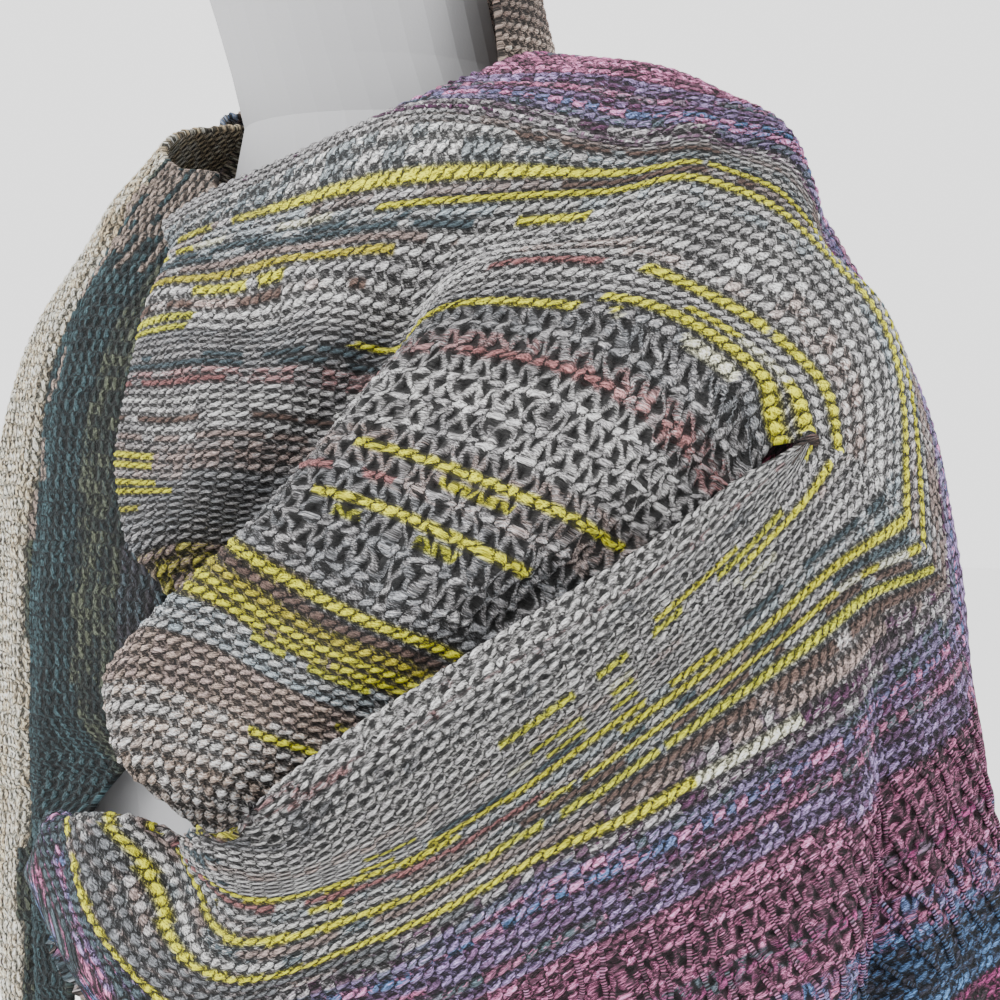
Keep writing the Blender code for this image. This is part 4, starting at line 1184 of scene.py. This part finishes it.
# %% [markdown]
# ### Back
#
# Round the back the rows go on from the cowl's last one, and stand ever steeper until they hang straight at the far
# shoulder. The photograph doesn't show them, so the bands go on as they began, and fade to the beige of the far end.

# %% Back
FAR_SHOULDER, FAR_SHOULDER_HEM = 266, 4.6
LAST_BACK_ROW = 190
BACK_EDGE_BLEND = 18  # degrees over which the wrap's folds die out on the back
# level: angle where the back begins
BACK_EDGE = {0.46: 55, 1.19: 81, 1.40: 101, 1.8: 116, 2.63: 113, 2.85: 117, 3.2: 124, 3.65: 134, 4.3: 146}
BACK_BANDS = FRONT_BANDS | {
    109: ("blue grey", "slate", 0.4), 116: ("purple", "blue", 0.4), 120: ("taupe", "grey", 0.4),
    128: ("tan", "taupe", 0.4), 136: ("blue", "grey", 0.5), 140: ("tan", "cream", 0.3),
    150: ("lavender", "tan", 0.5), 154: ("sand", "cream", 0.4), 168: ("beige", "sand", 0.35),
    182: ("beige", "cream", 0.4),
}


def back_places(rows, shares):
    """Rows between four borders: the cowl's last row, the far shoulder, the neck edge, and the mitre and hem."""
    t = (rows - rows[0]) / (rows[-1] - rows[0])
    turn, down = t[:, None, None], shares[None, :, None]
    start = cowl_places(np.array([float(LAST_COWL_RIDGE)]), NECK_EDGE_ENDS + (1 - NECK_EDGE_ENDS) * shares)
    end = np.stack([np.full(len(shares), float(FAR_SHOULDER)), FAR_SHOULDER_HEM * shares], axis=1)[None]
    neck = np.stack([start[0, 0, 0] * (1 - t) + FAR_SHOULDER * t, start[0, 0, 1] * (1 - t) ** BLEND_POWER], axis=1)
    mitre = mitre_places(table_ridge(rows))
    last_wrap_row = counted(LAST_WRAP_RIDGE)
    round_hem = np.clip((rows - last_wrap_row) / (rows[-1] - last_wrap_row), 0, 1)[:, None]
    hem = np.concatenate([
        mitre[-1:, :1] * (1 - round_hem) + FAR_SHOULDER * round_hem,
        FAR_SHOULDER_HEM - (FAR_SHOULDER_HEM - mitre[-1:, 1:]) * (1 - round_hem) ** 1.5,
    ], axis=1)
    low = np.where(rows[:, None] < last_wrap_row, mitre, hem)
    top, low = neck[:, None], low[:, None]
    corners = (start[:, :1] * (1 - turn) + end[:, :1] * turn) * (1 - down)
    corners = corners + (start[:, -1:] * (1 - turn) + end[:, -1:] * turn) * down
    return start * (1 - turn) + end * turn + top * (1 - down) + low * down - corners


def back_sheet():
    rows, shares = np.arange(float(LAST_COWL_ROW), LAST_BACK_ROW + 0.5, 2), np.linspace(0, 1, 90)
    places = back_places(rows, shares)
    points = on_profiles(DRAPE, places[..., 0], places[..., 1])
    edge = np.interp(places[..., 1], list(BACK_EDGE), list(BACK_EDGE.values()))
    near = 1 - ramp(places[..., 0] - edge, 0, BACK_EDGE_BLEND)
    net = lifted(DRAPE, places, every_fold(points) + near * fold_heights(DRAPE, WRAP_FOLDS, points))
    fine_rows, fine_shares = np.linspace(LAST_COWL_ROW, LAST_BACK_ROW, 385), np.linspace(0, 1, 216)
    net = with_undulation(refined(net, rows, shares, fine_rows, fine_shares), REAR)
    row = ridge_numbers(net, fine_rows, fine_shares, LAST_COWL_ROW - 1)
    lattice = lattice_of(net, row, np.broadcast_to(fine_shares, row.shape), BACK_BANDS, ())
    return knitted_sheet("knitted_back", net, normals_of(net, REAR), lattice, RELIEF, SKIN)


back = back_sheet()

# %% [markdown]
# ### Far end and neck stand
#
# The other end of the shawl hangs in front of the far shoulder, with a groove between a beige stretch and a teal
# one. Its inner edge runs behind the cowl in deep shadow, and that shade is painted on as near black yarn. Behind
# the neck a narrow stretch stands up.

# %% Far end
GROOVE_ANGLE = -29
# From row 18 on, towards the inner edge, the bands turn near black: painted shade where that edge lies in deep
# shadow.
FAR_END_BANDS_AND_SHADE = {
    -60: ("beige", "sand", 0.3), 0: ("moss", "teal", 0.4), 2: ("teal", "petrol", 0.35),
    12: ("teal", "moss", 0.45), 18: ("slate", "near black", 0.5), 21: ("near black", "slate", 0.3),
}
FAR_END_STRIPES = (
    (0, 24, 0.0, 0.24, "bark", 0.75), (-60, -1, 0.0, 0.22, "sand", 0.5), (0, 5, 0.2, 0.5, "bark", 0.3),
)


def far_end_sheet():
    shares, levels = np.linspace(0, 1, 60), np.linspace(0, max(FAR_END_EDGES), 100)
    inner, outer = (weights(list(FAR_END_EDGES), levels) @ values(FAR_END_EDGES)).T[:, None]
    angle = inner + (outer - inner) * shares[:, None]
    places = np.stack([angle, np.repeat(levels[None], len(shares), axis=0)], axis=2)
    points = on_profiles(FAR_END, places[..., 0], places[..., 1])
    net = lifted(FAR_END, places, fold_heights(FAR_END, FAR_END_FOLDS, points))
    fine_shares, fine_levels = np.linspace(0, 1, 190), np.linspace(0, levels[-1], 370)
    net = with_undulation(refined(net, shares, levels, fine_shares, fine_levels), FRONT)
    across = distance_across(net)
    angles = np.degrees(np.arctan2(net[..., 0], -net[..., 1]))
    groove = np.abs(angles - GROOVE_ANGLE).argmin(axis=0)
    row = (across[groove, np.arange(across.shape[1])] - across) / RIDGE_PITCH + 0.5
    share = np.broadcast_to(fine_levels / fine_levels[-1], row.shape)
    lattice = lattice_of(net, row, share, FAR_END_BANDS_AND_SHADE, FAR_END_STRIPES)
    return knitted_sheet("knitted_far_end", net, normals_of(net, FRONT), lattice, RELIEF, SKIN)


far_end = far_end_sheet()

# %% [markdown]
# ### Neck stand
#
# This short stretch stands up behind the neck.

# %% Neck stand
STAND_BANDS = {
    0: ("bark", "tan", 0.3), 6: ("bark", "brown", 0.35), 12: ("tan", "bark", 0.4), 15: ("bark", "slate", 0.3),
}


def neck_stand_sheet():
    shares, levels = np.linspace(0, 1, 80), np.linspace(0, 2, 30)
    start, end = NECK_STAND_SPAN
    places = np.stack(np.meshgrid(start + (end - start) * shares, levels), axis=2)
    net = lifted(NECK_STAND, places, np.zeros(places.shape[:2]))
    fine_levels, fine_shares = np.linspace(0, 2, 66), np.linspace(0, 1, 216)
    net = with_undulation(refined(net, levels, shares, fine_levels, fine_shares), REAR)
    row = distance_across(net) / RIDGE_PITCH
    lattice = lattice_of(net, row, np.broadcast_to(fine_shares, row.shape), STAND_BANDS, ())
    return knitted_sheet("knitted_neck_stand", net, normals_of(net, REAR), lattice, STAND_RELIEF, SKIN)


neck_stand = neck_stand_sheet()

# %% [markdown]
# ## Dress each node
#
# Every sheet rides on the one body and takes the place of its node. The form's own shape is right, so it only gets
# a better material: white linen with a fine weave.

# %% Sheets in place of the nodes
# piece: (node, slot, width and length of the flat cloth in metres, its area)
PIECES = {
    cowl: ("front_cowl", "knit_grey_lace", (0.30, 0.28), 0.066),
    wrap: ("front_wrap", "knit_striped", (0.56, 0.30), 0.106),
    back: ("back_drape", "knit_back", (0.52, 0.55), 0.246),
    far_end: ("far_end", "knit_beige_teal", (0.25, 0.49), 0.093),
    neck_stand: ("neck_stand", "knit_collar", (0.27, 0.08), 0.018),
}
for piece, (node, slot, flat, area) in PIECES.items():
    piece.data.materials.append(yarn_material("yarn of " + piece.name.replace("_", " ")))
    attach(piece, "root")
    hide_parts(node)
    on_it = [strands] if piece == wrap else []
strands.data.materials.append(wrap.data.materials[0])
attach(strands, "root")
print(len(PIECES), "sheets dressed")


# %% [markdown]
# ### Linen on the form
#
# The form keeps its CAD mesh and gets a pale woven material.

# %% Linen on the form
def linen_material():
    made, tree, surface, start = new_material("form linen")
    place = start.wrap(start.node("ShaderNodeTexCoord"), 3)
    grain = start.wrap(start.node("ShaderNodeTexNoise", Vector=place, Scale=900.0, Detail=2.0))
    cloud = start.wrap(start.node("ShaderNodeTexNoise", Vector=place, Scale=9.0, Detail=2.0))
    bump = start.node("ShaderNodeBump", Height=grain, Strength=0.25, Distance=0.3 * MM)
    tree.links.new(bump.outputs["Normal"], surface.inputs["Normal"])
    colour = mixed(start, cloud, (0.31, 0.31, 0.32, 1), (0.34, 0.34, 0.345, 1))
    tree.links.new(colour.socket, surface.inputs["Base Color"])
    surface.inputs["Roughness"].default_value = 0.85
    surface.inputs["Specular IOR Level"].default_value = 0.2
    return made


linen = linen_material()
for slot in bpy.data.objects["dress_form"].material_slots:
    slot.material = linen
